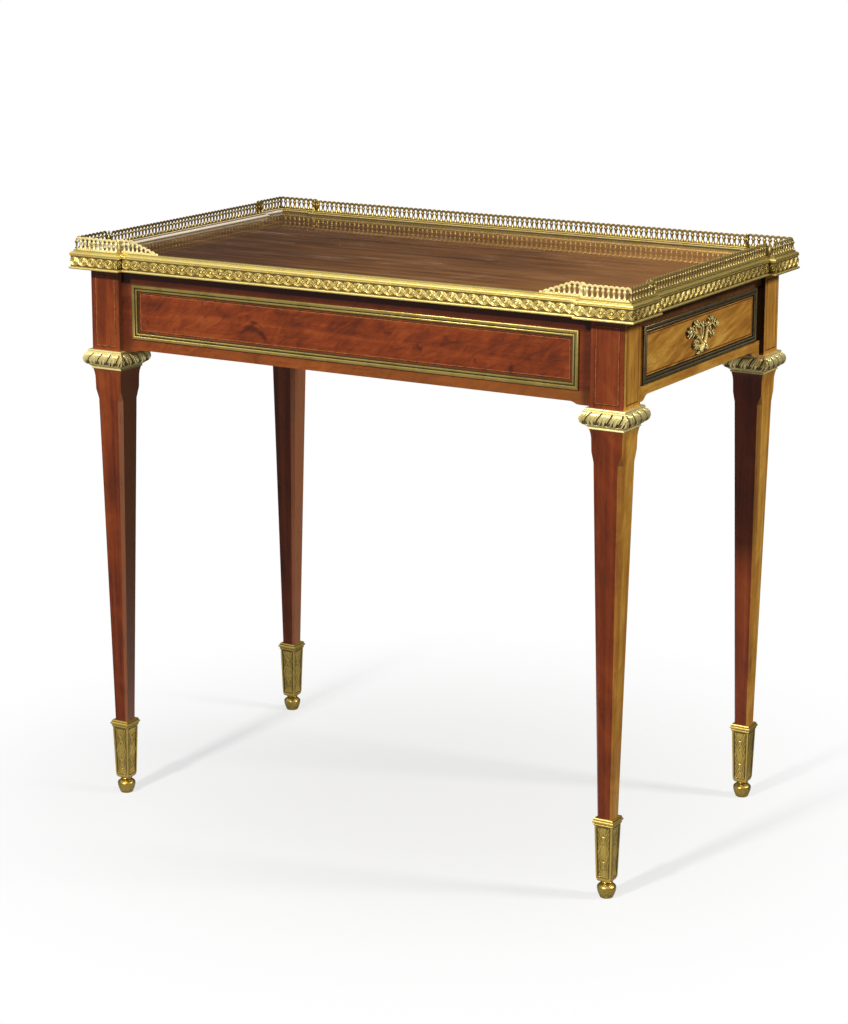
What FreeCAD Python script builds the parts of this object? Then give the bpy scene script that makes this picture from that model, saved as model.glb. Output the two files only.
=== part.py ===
"""Writing table with square tapered legs, gilt mounts, a pierced gallery and a drawer in its right end.

Millimetres. +Z is up, the long front faces -Y, the drawer opens towards +X, and the origin lies on the
floor under the middle of the table.
"""
import FreeCAD
import Part
import os

Vec = FreeCAD.Vector

# Whole table
table_width = 802.0
table_depth = 488.0
rim_height = 735.0

# Heights of the parts that stand on each other, from the rim down and from the floor up
rim_moulding_height = 6.5
band_height = 18.0
frieze_height = 105.5
collar_height = 25.5
sabot_height = 80.5
foot_height = 21.5

# Plan of the top
top_overhang = 20.0
corner_block = 78.0
block_step = 9.0
band_thickness = 3.2
rim_width = 17.5
board_rise = 1.6

# Posts and legs
post_size = 44.0
leg_neck_size = 40.0
leg_foot_size = 20.0
leg_flare_height = 15.0
leg_end_gap = 4.5
edge_ease = 0.5
cant_share = 0.13
cant_stop_height = 14.0
cant_stop_drop = 12.0

# Turned feet and the spigots that hold them in the shoes
foot_radius = 11.8
foot_base_radius = 8.2
foot_top_radius = 7.4
spigot_radius = 3.0
spigot_length = 6.0

# Frieze and rails
frieze_setback = 6.0
frieze_thickness = 18.0
front_lift = 3.6
end_lift = 7.0
front_bracket_length = 15.0
end_bracket_length = 18.0
bracket_foot = 15.0
bracket_seat = 0.3
tenon_thickness = 8.0
tenon_length = 23.0
tenon_shoulder_share = 0.2
lower_rail_height = 12.0
upper_rail_height = 15.0
stile_width = 15.0
stile_setback = 5.0

# Bronze frames and inlaid lines
frame_width = 8.5
frame_rise = 3.0
frame_end_margin = 17.0
frame_low_margin = 13.9
frame_top_margin = 17.0
line_light = 1.0
line_dark = 0.7
line_depth = 0.8
panel_line_margin = 2.6
post_line_margin = 6.0
post_line_low = 4.5
post_line_top = 8.0

# Drawer and its carcase
drawer_gap = 0.8
running_clearance = 0.3
side_clearance = 0.7
drawer_side_height = 60.0
drawer_side_thickness = 10.0
drawer_side_length = 520.0
drawer_bottom_thickness = 6.0
drawer_bottom_lift = 6.0
groove_depth = 5.0
drawer_lap = 11.0
runner_thickness = 12.0
runner_lap = 14.0
guide_height = 12.0
kicker_width = 16.0
kicker_clearance = 1.2
stop_length = 22.0
stop_height = 10.0
stop_gap = 0.3
block_side = 16.0
block_length = 42.0
block_end_margin = 60.0
front_block_count = 4
end_block_count = 2

# Gallery
gallery_height = 17.0
gallery_inset = 7.4
gallery_plate = 1.2
gallery_pitch = 7.4
gallery_foot = 2.6
gallery_crown = 2.4
gallery_bar = 1.9
gallery_eye_radius = 1.5
gallery_eye_drop = 3.4
gallery_return_full = 12.0
gallery_return_ramp = 40.0
gallery_return_tab = 7.0
gallery_tab_height = 2.6

# Lock, escutcheon and fasteners
lock_width = 52.0
lock_height = 34.0
lock_depth = 9.0
bolt_width = 22.0
bolt_thickness = 5.0
bolt_height = 24.0
bolt_throw = 6.5
bolt_clearance = 0.3
bolt_back_wall = 2.0
mortise_clearance = 0.7
mortise_spare = 1.0
escutcheon_width = 94.0
escutcheon_height = 42.0
escutcheon_plate = 2.6
escutcheon_shield_width = 26.0
escutcheon_shield_height = 37.0
escutcheon_branch_width = 10.0
escutcheon_ribbon_width = 56.0
escutcheon_ribbon_drop = 7.0
keyhole_radius = 2.3
keyhole_slot = 2.2
keyhole_drop = 8.0
keyhole_height = 42.0
pin_radius = 0.8
pin_head_radius = 1.5
pin_head_rise = 0.7
pin_length = 7.0
lock_screw_radius = 1.4
lock_screw_head = 2.6
lock_screw_length = 7.0
lock_screw_inset = 4.5
top_screw_radius = 2.0
top_screw_head = 4.0
top_screw_length = 38.0
top_screw_count = 3
top_screw_end_margin = 90.0
overrun = 5.0

# Levels and faces that follow from the sizes above
band_top = rim_height - rim_moulding_height
band_bottom = band_top - band_height
collar_top = band_bottom - frieze_height
collar_bottom = collar_top - collar_height
sabot_top = foot_height + sabot_height
board_top = band_top + board_rise
post_outer_x = table_width / 2 - top_overhang
post_outer_y = table_depth / 2 - top_overhang
post_inner_x = post_outer_x - post_size
post_inner_y = post_outer_y - post_size
leg_x = post_outer_x - post_size / 2
leg_y = post_outer_y - post_size / 2
face_x = post_outer_x - frieze_setback
face_y = post_outer_y - frieze_setback
inner_x = face_x - frieze_thickness
inner_y = face_y - frieze_thickness
front_bottom = collar_top + front_lift
end_bottom = collar_top + end_lift
lower_rail_top = end_bottom + lower_rail_height
upper_rail_bottom = band_bottom - upper_rail_height
drawer_low = lower_rail_top + drawer_gap
drawer_high = upper_rail_bottom - drawer_gap
drawer_half = post_inner_y - stile_width - drawer_gap
side_outer = drawer_half
side_inner = side_outer - drawer_side_thickness
side_top = drawer_low + drawer_side_height
drawer_end = inner_x - drawer_side_length
runner_top = drawer_low - running_clearance
line_width = line_dark + line_light

SIDES = ("front", "right", "back", "left")
CORNERS = {
    "front_left": (-1, -1),
    "front_right": (1, -1),
    "back_right": (1, 1),
    "back_left": (-1, 1),
}
pieces = {}


def keep(name, shape):
    """Checks a finished piece and files it under its name."""
    if not shape.isValid() or shape.Volume <= 0:
        raise RuntimeError(name + " did not come out as a sound solid")
    pieces[name] = shape
    return shape


def block(x_low, x_high, y_low, y_high, z_low, z_high):
    """A box between two corners."""
    return Part.makeBox(x_high - x_low, y_high - y_low, z_high - z_low, Vec(x_low, y_low, z_low))


def side_block(end, near, far, x_low, x_high, z_low, z_high):
    """A box between two distances from the middle of the table, towards the front (-1) or the back (1)."""
    y_low, y_high = sorted((end * near, end * far))
    return block(x_low, x_high, y_low, y_high, z_low, z_high)


def path_edges(points):
    """Edges through the points of an outline. A pair of points is an arc through the first to the second."""
    edges = []
    here = points[0]
    for step in points[1:]:
        if isinstance(step, tuple):
            edges.append(Part.Arc(here, step[0], step[1]).toShape())
            here = step[1]
        else:
            edges.append(Part.LineSegment(here, step).toShape())
            here = step
    if here.distanceToPoint(points[0]) > 0:
        edges.append(Part.LineSegment(here, points[0]).toShape())
    return edges


def flat_face(points):
    """A closed face from the points of an outline."""
    return Part.Face(Part.Wire(path_edges(points)))


def rectangle(u_low, u_high, v_low, v_high):
    """Four corners of a rectangle in plan, anticlockwise."""
    return [Vec(u_low, v_low), Vec(u_high, v_low), Vec(u_high, v_high), Vec(u_low, v_high)]


def on_side(side, shape):
    """Turns a shape drawn as (along, up, outwards) to face the named side of the table."""
    turns = {"front": 0, "right": 90, "back": 180, "left": 270}
    stood = shape.copy()
    stood.rotate(Vec(), Vec(1, 0, 0), 90)
    stood.rotate(Vec(), Vec(0, 0, 1), turns[side])
    return stood


def frieze_face(side):
    """How far the frieze's face on that side stands from the middle of the table."""
    return face_y if side in ("front", "back") else face_x


def post_face(side):
    """How far the posts' faces on that side stand from the middle of the table."""
    return post_outer_y if side in ("front", "back") else post_outer_x


def moulding_run(corners, section, depth, low, high, closed=False):
    """A moulding along the runs between plan corners, mitred at each.

    corners(inset) gives the plan corners moved inwards, in anticlockwise order, and section is a face
    drawn as (inset, height) that lies within the depth and between the low and high levels.
    """
    line = corners(0)
    outside = corners(-overrun)
    inside = corners(depth + overrun)
    count = len(line) if closed else len(line) - 1
    runs = []
    for index in range(count):
        after = (index + 1) % len(line)
        along = (line[after] - line[index]).normalize()
        inward = Vec(-along.y, along.x, 0)
        start = line[index] - along * (depth + overrun)
        length = (line[after] - line[index]).Length + (depth + overrun) * 2
        turned = section.copy()
        turned.Placement = FreeCAD.Placement(
            FreeCAD.Matrix(
                inward.x, 0, along.x, start.x,
                inward.y, 0, along.y, start.y,
                0, 1, 0, 0,
                0, 0, 0, 1,
            )
        )
        bar = turned.extrude(along * length)
        plan = flat_face([outside[index], outside[after], inside[after], inside[index]])
        plan.translate(Vec(0, 0, low - overrun))
        runs.append(bar.common(plan.extrude(Vec(0, 0, high - low + overrun * 2))).Solids[0])
    joined = runs[0].fuse(runs[1:]) if len(runs) > 1 else runs[0]
    return joined.Solids[0]


def top_corners(side, inset):
    """Six plan corners of one side of the top, moved inwards by inset: block, step, run, step, block."""
    wide = side in ("front", "back")
    half_along = (table_width if wide else table_depth) / 2
    half_out = (table_depth if wide else table_width) / 2
    far = half_along - inset
    jog = half_along - corner_block + inset
    out = half_out - inset
    main = out - block_step
    run = [(-far, out), (-jog, out), (-jog, main), (jog, main), (jog, out), (far, out)]
    turns = {
        "front": lambda a, b: Vec(a, -b),
        "right": lambda a, b: Vec(b, a),
        "back": lambda a, b: Vec(-a, b),
        "left": lambda a, b: Vec(-b, -a),
    }
    return [turns[side](along, away) for along, away in run]


def top_plan(inset, low, high):
    """A slab with the outline of the top, moved inwards by inset."""
    points = []
    for side in SIDES:
        points += top_corners(side, inset)[:-1]
    slab = flat_face(points)
    slab.translate(Vec(0, 0, low))
    return slab.extrude(Vec(0, 0, high - low))


def square_turning(profile):
    """A square block whose four sides follow the profile, given upwards as (half size, height)."""
    points = flatten(profile)
    reach = max(point.x for point in points) + overrun
    outline = [lift(step, 1) for step in profile] + mirrored_path(profile) + [lift(points[0], 1)]
    face = Part.Face(Part.Wire(path_edges(outline)))
    face.translate(Vec(0, -reach, 0))
    across = face.extrude(Vec(0, reach * 2, 0))
    other = across.copy()
    other.rotate(Vec(), Vec(0, 0, 1), 90)
    return across.common(other).Solids[0]


def flatten(profile):
    """The end points of a profile's steps, arcs' middle points among them."""
    points = []
    for step in profile:
        points += list(step) if isinstance(step, tuple) else [step]
    return points


def lift(step, sign):
    """A profile step drawn as (half size, height) stood up in the plane that faces the front."""
    if isinstance(step, tuple):
        return tuple(Vec(sign * point.x, 0, point.y) for point in step)
    return Vec(sign * step.x, 0, step.y)


def mirrored_path(profile):
    """The profile's left side, from the top down."""
    ends = [step[-1] if isinstance(step, tuple) else step for step in profile]
    path = [lift(ends[-1], -1)]
    for index in range(len(profile) - 1, 0, -1):
        step = profile[index]
        target = lift(ends[index - 1], -1)
        if isinstance(step, tuple):
            path.append((lift(step[0], -1), target))
        else:
            path.append(target)
    return path


def turned_piece(profile):
    """A round piece turned about the vertical axis from a profile of (radius, height) points."""
    ends = flatten(profile)
    points = [Vec(0, 0, ends[0].y)] + [lift(step, 1) for step in profile] + [Vec(0, 0, ends[-1].y)]
    return Part.Face(Part.Wire(path_edges(points))).revolve(Vec(), Vec(0, 0, 1), 360)


def screw(radius, head_radius, length):
    """A countersunk screw along +Z whose head is flush with z = 0."""
    head_depth = head_radius - radius
    head = Part.makeCone(head_radius, radius, head_depth)
    shank = Part.makeCylinder(radius, length - head_depth, Vec(0, 0, head_depth))
    return head.fuse(shank).removeSplitter().Solids[0]


def group(solids):
    """Several separate solids that share one node."""
    return Part.makeCompound(solids)


def line_ring(u_low, u_high, v_low, v_high, outer, inner):
    """A rectangular inlaid line between two insets from a rectangle, let into the face at height 0."""
    big = flat_face(rectangle(u_low + outer, u_high - outer, v_low + outer, v_high - outer))
    small = flat_face(rectangle(u_low + inner, u_high - inner, v_low + inner, v_high - inner))
    ring = big.cut(small).Faces[0]
    ring.translate(Vec(0, 0, -line_depth))
    return ring.extrude(Vec(0, 0, line_depth))


def inlay(side, away, u_low, u_high, v_low, v_high):
    """A dark line with a light one inside it round a rectangle on one side, and the groove for both."""
    insets = (0, line_dark, line_width)
    rings = []
    for outer, inner in zip(insets, insets[1:]):
        ring = line_ring(u_low, u_high, v_low, v_high, outer, inner)
        ring.translate(Vec(0, 0, away))
        rings.append(on_side(side, ring))
    groove = line_ring(u_low, u_high, v_low, v_high, 0, line_width)
    groove.translate(Vec(0, 0, away))
    return {"dark": rings[0], "light": rings[1], "groove": on_side(side, groove)}


def frame_section():
    """Section of the bronze frames as (inset, height): outer bead, hollow and inner fillet."""
    bead = frame_width * 0.36
    hollow = frame_width * 0.44
    fillet = frame_width - bead - hollow
    fillet_rise = frame_rise * 0.45
    lip = frame_rise * 0.2
    return flat_face([
        Vec(0, 0),
        Vec(frame_width, 0),
        Vec(frame_width, fillet_rise),
        Vec(frame_width - fillet, fillet_rise),
        (Vec(bead + hollow * 0.35, fillet_rise), Vec(bead, frame_rise * 0.8)),
        (Vec(bead / 2, frame_rise), Vec(lip, frame_rise * 0.62)),
        Vec(0, frame_rise * 0.4),
    ])


def bronze_frame(side, away, u_low, u_high, v_low, v_high):
    """A mitred bronze frame on one side of the table, its outer edge on the given rectangle."""
    def corners(inset):
        return rectangle(u_low + inset, u_high - inset, v_low + inset, v_high - inset)
    frame = moulding_run(corners, frame_section(), frame_width, 0, frame_rise, closed=True)
    frame.translate(Vec(0, 0, away))
    return on_side(side, frame)


# Legs, with the posts in one piece with them
def leg_half_size(height):
    """Half the leg's size at a height along its straight taper."""
    straight_top = collar_bottom - leg_flare_height
    share = (height - sabot_top) / (straight_top - sabot_top)
    return (leg_foot_size + (leg_neck_size - leg_foot_size) * share) / 2


def cant_cutter(low, stop, stop_end):
    """Wedge that cants one edge of the leg, running out at its top."""
    sections = []
    for height, share in ((low, cant_share), (stop, cant_share), (stop_end, 0)):
        half = leg_half_size(height)
        cant = half * 2 * share
        near = half - cant - overrun
        far = half + overrun
        sections.append(Part.makePolygon([
            Vec(far, near, height),
            Vec(far, far, height),
            Vec(near, far, height),
            Vec(far, near, height),
        ]))
    return Part.makeLoft(sections, True, True)


def make_leg():
    """Post and tapered leg about the vertical axis, with canted edges that stop under the collar."""
    foot = foot_height + spigot_length + leg_end_gap
    straight_top = collar_bottom - leg_flare_height
    post = post_size / 2
    neck = leg_neck_size / 2
    body = square_turning([
        Vec(leg_half_size(foot), foot),
        Vec(neck, straight_top),
        (Vec(neck + (post - neck) * 0.28, straight_top + leg_flare_height * 0.55), Vec(post, collar_bottom)),
        Vec(post, band_bottom),
    ])
    stop_end = straight_top - cant_stop_drop
    cutter = cant_cutter(foot - overrun, stop_end - cant_stop_height, stop_end)
    for turn in range(4):
        turned = cutter.copy()
        turned.rotate(Vec(), Vec(0, 0, 1), 90 * turn)
        body = body.cut(turned)
    edges = [edge for edge in body.Edges if is_post_edge(edge)]
    return body.makeChamfer(edge_ease, edges).Solids[0]


def is_post_edge(edge):
    """True for the post's four upright edges."""
    if len(edge.Vertexes) < 2:
        return False
    ends = [vertex.Point for vertex in edge.Vertexes]
    upright = abs(ends[0].x - ends[1].x) + abs(ends[0].y - ends[1].y) < edge_ease / 10
    return upright and max(point.z for point in ends) > collar_top


leg = make_leg()


# Friezes and rails, tenoned into the posts
def bracket_points(end, length, low, high):
    """A bracket from the post inwards: a flat foot over the collar, then an ogee up to the rail."""
    inwards = -1 if end > 0 else 1
    post = Vec(end, low)
    seat = post + Vec(inwards * bracket_foot, 0)
    middle = seat + Vec(inwards * length / 2, (high - low) / 2)
    top = seat + Vec(inwards * length, high - low)
    first = seat + (middle - seat) * 0.5 + Vec(inwards * length, low - high) * 0.08
    second = middle + (top - middle) * 0.5 - Vec(inwards * length, low - high) * 0.08
    return post, seat, first, middle, second, top


def rail(side, bottom, top, bracket_length):
    """A rail between two posts with a bracket at each end and a tenon in each post, on one side."""
    wide = side in ("front", "back")
    end = post_inner_x if wide else post_inner_y
    low = collar_top + bracket_seat
    if bracket_length:
        left = bracket_points(-end, bracket_length, low, bottom)
        right = bracket_points(end, bracket_length, low, bottom)
        outline = [left[0], left[1], (left[2], left[3]), (left[4], left[5]), right[5]]
        outline += [(right[4], right[3]), (right[2], right[1]), right[0], Vec(end, top), Vec(-end, top)]
    else:
        outline = rectangle(-end, end, bottom, top)
    away = frieze_face(side) - frieze_thickness
    face = flat_face(outline)
    face.translate(Vec(0, 0, away))
    body = face.extrude(Vec(0, 0, frieze_thickness))
    shoulder = (top - bottom) * tenon_shoulder_share
    middle = away + frieze_thickness / 2
    tenon = block(
        -end - tenon_length, end + tenon_length,
        bottom + shoulder, top - shoulder,
        middle - tenon_thickness / 2, middle + tenon_thickness / 2,
    )
    return on_side(side, body.fuse(tenon).removeSplitter().Solids[0])


frieze_front = rail("front", front_bottom, band_bottom, front_bracket_length)
frieze_back = rail("back", front_bottom, band_bottom, front_bracket_length)
frieze_left = rail("left", end_bottom, band_bottom, end_bracket_length)
lower_rail = rail("right", end_bottom, lower_rail_top, end_bracket_length)
upper_rail = rail("right", upper_rail_bottom, band_bottom, 0)
rails = [frieze_front, frieze_back, frieze_left, lower_rail, upper_rail]

stiles = []
for end in (-1, 1):
    stiles.append(side_block(
        end, post_inner_y - stile_width, post_inner_y,
        inner_x, face_x - stile_setback, lower_rail_top, upper_rail_bottom,
    ))
keep("end_stiles", group(stiles))

# Inlaid lines on the posts and in the framed panels
dark_lines = []
light_lines = []
post_grooves = []
for side in SIDES:
    along = leg_x if side in ("front", "back") else leg_y
    for end in (-1, 1):
        half = post_size / 2 - post_line_margin
        lines = inlay(
            side, post_face(side),
            end * along - half, end * along + half,
            collar_top + post_line_low, band_bottom - post_line_top,
        )
        dark_lines.append(lines["dark"])
        light_lines.append(lines["light"])
        post_grooves.append(lines["groove"])

friezes = {"front": frieze_front, "back": frieze_back, "left": frieze_left}
for side, frieze in friezes.items():
    end = post_inner_x if side in ("front", "back") else post_inner_y
    reach = end - frame_end_margin
    low = collar_top + front_lift + frame_low_margin
    high = band_bottom - frame_top_margin
    keep("panel_moulding_" + side, bronze_frame(side, frieze_face(side), -reach, reach, low, high))
    inset = frame_width + panel_line_margin
    lines = inlay(side, frieze_face(side), -reach + inset, reach - inset, low + inset, high - inset)
    dark_lines.append(lines["dark"])
    light_lines.append(lines["light"])
    keep("frieze_" + side, frieze.cut(lines["groove"]).Solids[0])
keep("rail_lower_right", lower_rail)
keep("stringing_dark", group(dark_lines))
keep("stringing_light", group(light_lines))

for name, (sign_x, sign_y) in CORNERS.items():
    placed = leg.copy()
    placed.translate(Vec(sign_x * leg_x, sign_y * leg_y, 0))
    for part in rails + post_grooves:
        if placed.BoundBox.intersect(part.BoundBox):
            placed = placed.cut(part)
    keep("leg_" + name, placed.Solids[0])


# Gilt collars under the frieze, sabots at the ends of the legs and turned feet
def make_collar():
    """Square capital: top plate, leaf-carved roll and lower fillet, fitted round the leg."""
    post = post_size / 2
    plate = post + collar_height * 0.18
    throat = post + collar_height * 0.09
    roll = post + collar_height * 0.38
    hem = post + collar_height * 0.14
    heel = post + collar_height * 0.07
    level_shares = (0, 0.1, 0.2, 0.52, 0.83, 0.86, 1)
    levels = [collar_bottom + collar_height * share for share in level_shares]
    return square_turning([
        Vec(heel, levels[0]),
        Vec(hem, levels[1]),
        Vec(throat, levels[2]),
        (Vec(roll, levels[3]), Vec(throat, levels[4])),
        Vec(plate, levels[5]),
        Vec(plate, levels[6]),
    ]).cut(leg).Solids[0]


def make_sabot():
    """Tapering square shoe: stepped cornice, panelled body and a rounded end over the foot."""
    rim = leg_foot_size / 2 + sabot_height * 0.052
    shoulder = leg_foot_size / 2 + sabot_height * 0.03
    body_top = leg_foot_size / 2 + sabot_height * 0.022
    body_low = leg_foot_size / 2 - sabot_height * 0.002
    end = foot_top_radius * 1.15
    level_shares = (0, 0.075, 0.88, 0.905, 0.93, 0.965, 1)
    levels = [foot_height + sabot_height * share for share in level_shares]
    solid = square_turning([
        Vec(end, levels[0]),
        (Vec(body_low * 0.94, (levels[0] + levels[1]) / 2), Vec(body_low, levels[1])),
        Vec(body_top, levels[2]),
        Vec(shoulder, levels[3]),
        Vec(rim, levels[4]),
        Vec(rim, levels[5]),
        Vec(shoulder, levels[6]),
    ])
    spigot = Part.makeCylinder(spigot_radius, spigot_length, Vec(0, 0, foot_height))
    return solid.cut(leg).cut(spigot).Solids[0]


def make_foot():
    """Turned foot: flat base, top-shaped swelling, shoulder and neck, with a spigot into the shoe."""
    level_shares = (0, 0.3, 0.56, 0.66, 0.8, 0.9, 1)
    levels = [foot_height * share for share in level_shares]
    return turned_piece([
        Vec(foot_base_radius, levels[0]),
        (Vec(foot_radius * 0.86, levels[1]), Vec(foot_radius, levels[2])),
        Vec(foot_radius, levels[3]),
        Vec(foot_top_radius * 1.15, levels[4]),
        (Vec(foot_top_radius * 0.88, levels[5]), Vec(foot_top_radius, levels[6])),
        Vec(spigot_radius, levels[6]),
        Vec(spigot_radius, foot_height + spigot_length),
    ])


collar = make_collar()
sabot = make_sabot()
foot = make_foot()
for name, (sign_x, sign_y) in CORNERS.items():
    for kind, shape in (("collar_", collar), ("sabot_", sabot), ("foot_", foot)):
        placed = shape.copy()
        placed.translate(Vec(sign_x * leg_x, sign_y * leg_y, 0))
        keep(kind + name, placed)


# Top board, its bronze edge band and the rim moulding
def band_section():
    """Section of the edge band as (inset, height): plain hem, ornamented field and top fillet."""
    hem = band_height * 0.17
    fillet = band_height * 0.93
    field_inset = band_thickness * 0.12
    fillet_inset = band_thickness * 0.3
    return flat_face([
        Vec(0, band_bottom),
        Vec(band_thickness, band_bottom),
        Vec(band_thickness, band_top),
        Vec(fillet_inset, band_top),
        Vec(fillet_inset, band_bottom + fillet),
        Vec(field_inset, band_bottom + fillet),
        Vec(field_inset, band_bottom + hem),
        Vec(0, band_bottom + hem),
    ])


def rim_section():
    """Section of the rim as (inset, height): quarter round, fillet, flat and two steps down to the board."""
    nose = rim_moulding_height * 0.2
    belly = rim_moulding_height * 0.62
    outer = rim_width * 0.06
    shelf = rim_width * 0.27
    flat = rim_width * 0.6
    step = rim_width * 0.8
    inner_rise = board_rise + (rim_moulding_height - board_rise) * 0.22
    step_rise = board_rise + (rim_moulding_height - board_rise) * 0.62
    return flat_face([
        Vec(outer, band_top),
        Vec(rim_width, band_top),
        Vec(rim_width, band_top + inner_rise),
        Vec(step, band_top + inner_rise),
        Vec(step, band_top + step_rise),
        Vec(flat, band_top + step_rise),
        Vec(flat, rim_height),
        Vec(shelf, rim_height),
        Vec(shelf, band_top + belly + nose * 0.5),
        (Vec(shelf * 0.5, band_top + belly * 0.86), Vec(outer, band_top + nose)),
    ])


def side_corners(side):
    """The plan corners of one side of the top, as a function of their inset."""
    return lambda inset: top_corners(side, inset)


for side in SIDES:
    corners = side_corners(side)
    keep("edge_band_" + side, moulding_run(corners, band_section(), band_thickness, band_bottom, band_top))
    keep("rim_moulding_" + side, moulding_run(corners, rim_section(), rim_width, band_top, rim_height))

board = top_plan(band_thickness, band_bottom, band_top)
board = board.fuse(top_plan(rim_width, band_top, board_top)).removeSplitter()


# Pierced gallery round three sides, with short returns on the front
def arch_holes(left, pitch, height):
    """Oval opening and round eye of one arch whose foot starts at left, drawn as (along, up)."""
    middle = left + pitch / 2
    half = (pitch - gallery_bar) / 2
    low = gallery_foot
    high = height - gallery_eye_drop - gallery_eye_radius * 1.5
    wires = []
    if high - low > half * 2:
        points = [Vec(middle - half, high - half), Vec(middle - half, low + half)]
        points += [(Vec(middle, low), Vec(middle + half, low + half)), Vec(middle + half, high - half)]
        points += [(Vec(middle, high), Vec(middle - half, high - half))]
        wires.append(Part.Wire(path_edges(points)))
    if height - gallery_eye_drop - gallery_eye_radius > gallery_foot:
        eye = Part.Circle(Vec(middle, height - gallery_eye_drop), Vec(0, 0, 1), gallery_eye_radius)
        wires.append(Part.Wire(eye.toShape()))
    return wires


def arcade(length, heights=None):
    """One straight plate of the gallery, from 0 to length, with an arch for each height."""
    if heights is None:
        heights = [gallery_height] * max(1, round(length / gallery_pitch))
    count = len(heights)
    pitch = length / count
    points = [Vec(0, 0), Vec(length, 0)]
    wires = []
    for index in reversed(range(count)):
        left = index * pitch
        shoulder = max(heights[index] - gallery_crown, gallery_foot)
        foot = Vec(left + pitch, shoulder)
        if index == count - 1 or heights[index] != heights[index + 1]:
            points.append(foot)
        points.append((Vec(left + pitch / 2, heights[index]), Vec(left, shoulder)))
        wires += arch_holes(left, pitch, heights[index])
    outline = Part.Wire(path_edges(points))
    face = Part.makeFace([outline] + wires, "Part::FaceMakerBullseye")
    return face.extrude(Vec(0, 0, gallery_plate))


def stand_plate(plate, start, finish):
    """Stands a gallery plate on the rim, its outer face on the line from start to finish."""
    along = (finish - start).normalize()
    inward = Vec(-along.y, along.x, 0)
    stood = plate.copy()
    stood.Placement = FreeCAD.Placement(
        FreeCAD.Matrix(
            along.x, 0, -inward.x, start.x + inward.x * gallery_plate,
            along.y, 0, -inward.y, start.y + inward.y * gallery_plate,
            0, 1, 0, rim_height,
            0, 0, 0, 1,
        )
    )
    return stood


def gallery_run(corners, trim):
    """Plates along the five runs between a side's plan corners, butted so that none overlap.

    Each plate's start and finish move along it by so many of its thicknesses, and the outer ends draw in
    by one where trim is 1, to make room for the plate that comes round the corner.
    """
    moves = ((trim, 0), (1, 0), (-1, 1), (0, -1), (0, -trim))
    plates = []
    for first, second, (start_move, finish_move) in zip(corners, corners[1:], moves):
        along = (second - first).normalize()
        start = first + along * gallery_plate * start_move
        finish = second + along * gallery_plate * finish_move
        plates.append(stand_plate(arcade((finish - start).Length), start, finish))
    return plates[0].fuse(plates[1:]).Solids[0]


for side, trim in (("right", 1), ("back", 0), ("left", 1)):
    keep("gallery_" + side, gallery_run(top_corners(side, gallery_inset), trim))


def front_return():
    """Right front end of the gallery, from the table's corner inwards: block, step, ramp and tab."""
    line = top_corners("front", gallery_inset)
    corner = line[5]
    outer = line[4]
    inner = line[3]
    block_plate = stand_plate(arcade((corner - outer).Length), outer, corner)
    step_start = inner
    step_finish = outer + Vec(0, gallery_plate, 0)
    step_plate = stand_plate(arcade((step_finish - step_start).Length), step_start, step_finish)
    ramp_count = max(1, round(gallery_return_ramp / gallery_pitch))
    fall = (gallery_height - gallery_tab_height) / (ramp_count + 1)
    ramp = [gallery_tab_height + fall * (index + 1) for index in range(ramp_count)]
    level = [gallery_height] * max(1, round(gallery_return_full / gallery_pitch))
    length = (ramp_count + len(level)) * gallery_pitch
    finish = inner + Vec(gallery_plate, 0, 0)
    start = finish - Vec(length, 0, 0)
    ramp_plate = stand_plate(arcade(length, ramp + level), start, finish)
    tab = block(
        start.x - gallery_return_tab, start.x,
        start.y, start.y + gallery_plate,
        rim_height, rim_height + gallery_tab_height,
    )
    return block_plate.fuse([step_plate, ramp_plate, tab]).removeSplitter().Solids[0]


return_right = keep("gallery_front_right", front_return())
keep("gallery_front_left", return_right.mirror(Vec(), Vec(1, 0, 0)))

# Runners, kickers, stops and glue blocks inside the carcase
runners = []
kickers = []
stops = []
kicker_bottom = side_top + kicker_clearance
legs = [pieces["leg_" + name] for name in CORNERS]
for end in (-1, 1):
    runner = side_block(
        end, side_outer - runner_lap, inner_y,
        -inner_x, inner_x, runner_top - runner_thickness, runner_top,
    )
    guide = side_block(
        end, side_outer + side_clearance, inner_y,
        -inner_x, inner_x, runner_top, runner_top + guide_height,
    )
    runner = runner.fuse(guide)
    for post in legs:
        runner = runner.cut(post)
    runners.append(runner.removeSplitter().Solids[0])
    kickers.append(side_block(
        end, side_outer - kicker_width, side_outer,
        -inner_x, inner_x, kicker_bottom, band_bottom,
    ))
    stop_high = drawer_end - stop_gap
    stops.append(side_block(
        end, side_outer - runner_lap, side_outer,
        stop_high - stop_length, stop_high, runner_top, runner_top + stop_height,
    ))
keep("drawer_stops", group(stops))


def glue_block(length):
    """A triangular block in the angle under the board, along X from 0, against a face at y = 0."""
    section = flat_face([Vec(0, 0), Vec(block_side, 0), Vec(0, -block_side)])
    section.rotate(Vec(), Vec(1, 0, 0), 90)
    section.rotate(Vec(), Vec(0, 0, 1), 90)
    return section.extrude(Vec(length, 0, 0))


block_rows = (
    (0, post_inner_x, inner_y, front_block_count),
    (180, post_inner_x, inner_y, front_block_count),
    (270, drawer_half - kicker_width, inner_x, end_block_count),
)
blocks = []
for turn, end, inner, count in block_rows:
    first = -end + block_end_margin
    spacing = (-2 * first - block_length) / (count - 1)
    for index in range(count):
        shape = glue_block(block_length)
        shape.translate(Vec(first + spacing * index, -inner, band_bottom))
        shape.rotate(Vec(), Vec(0, 0, 1), turn)
        blocks.append(shape)
keep("glue_blocks", group(blocks))

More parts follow.
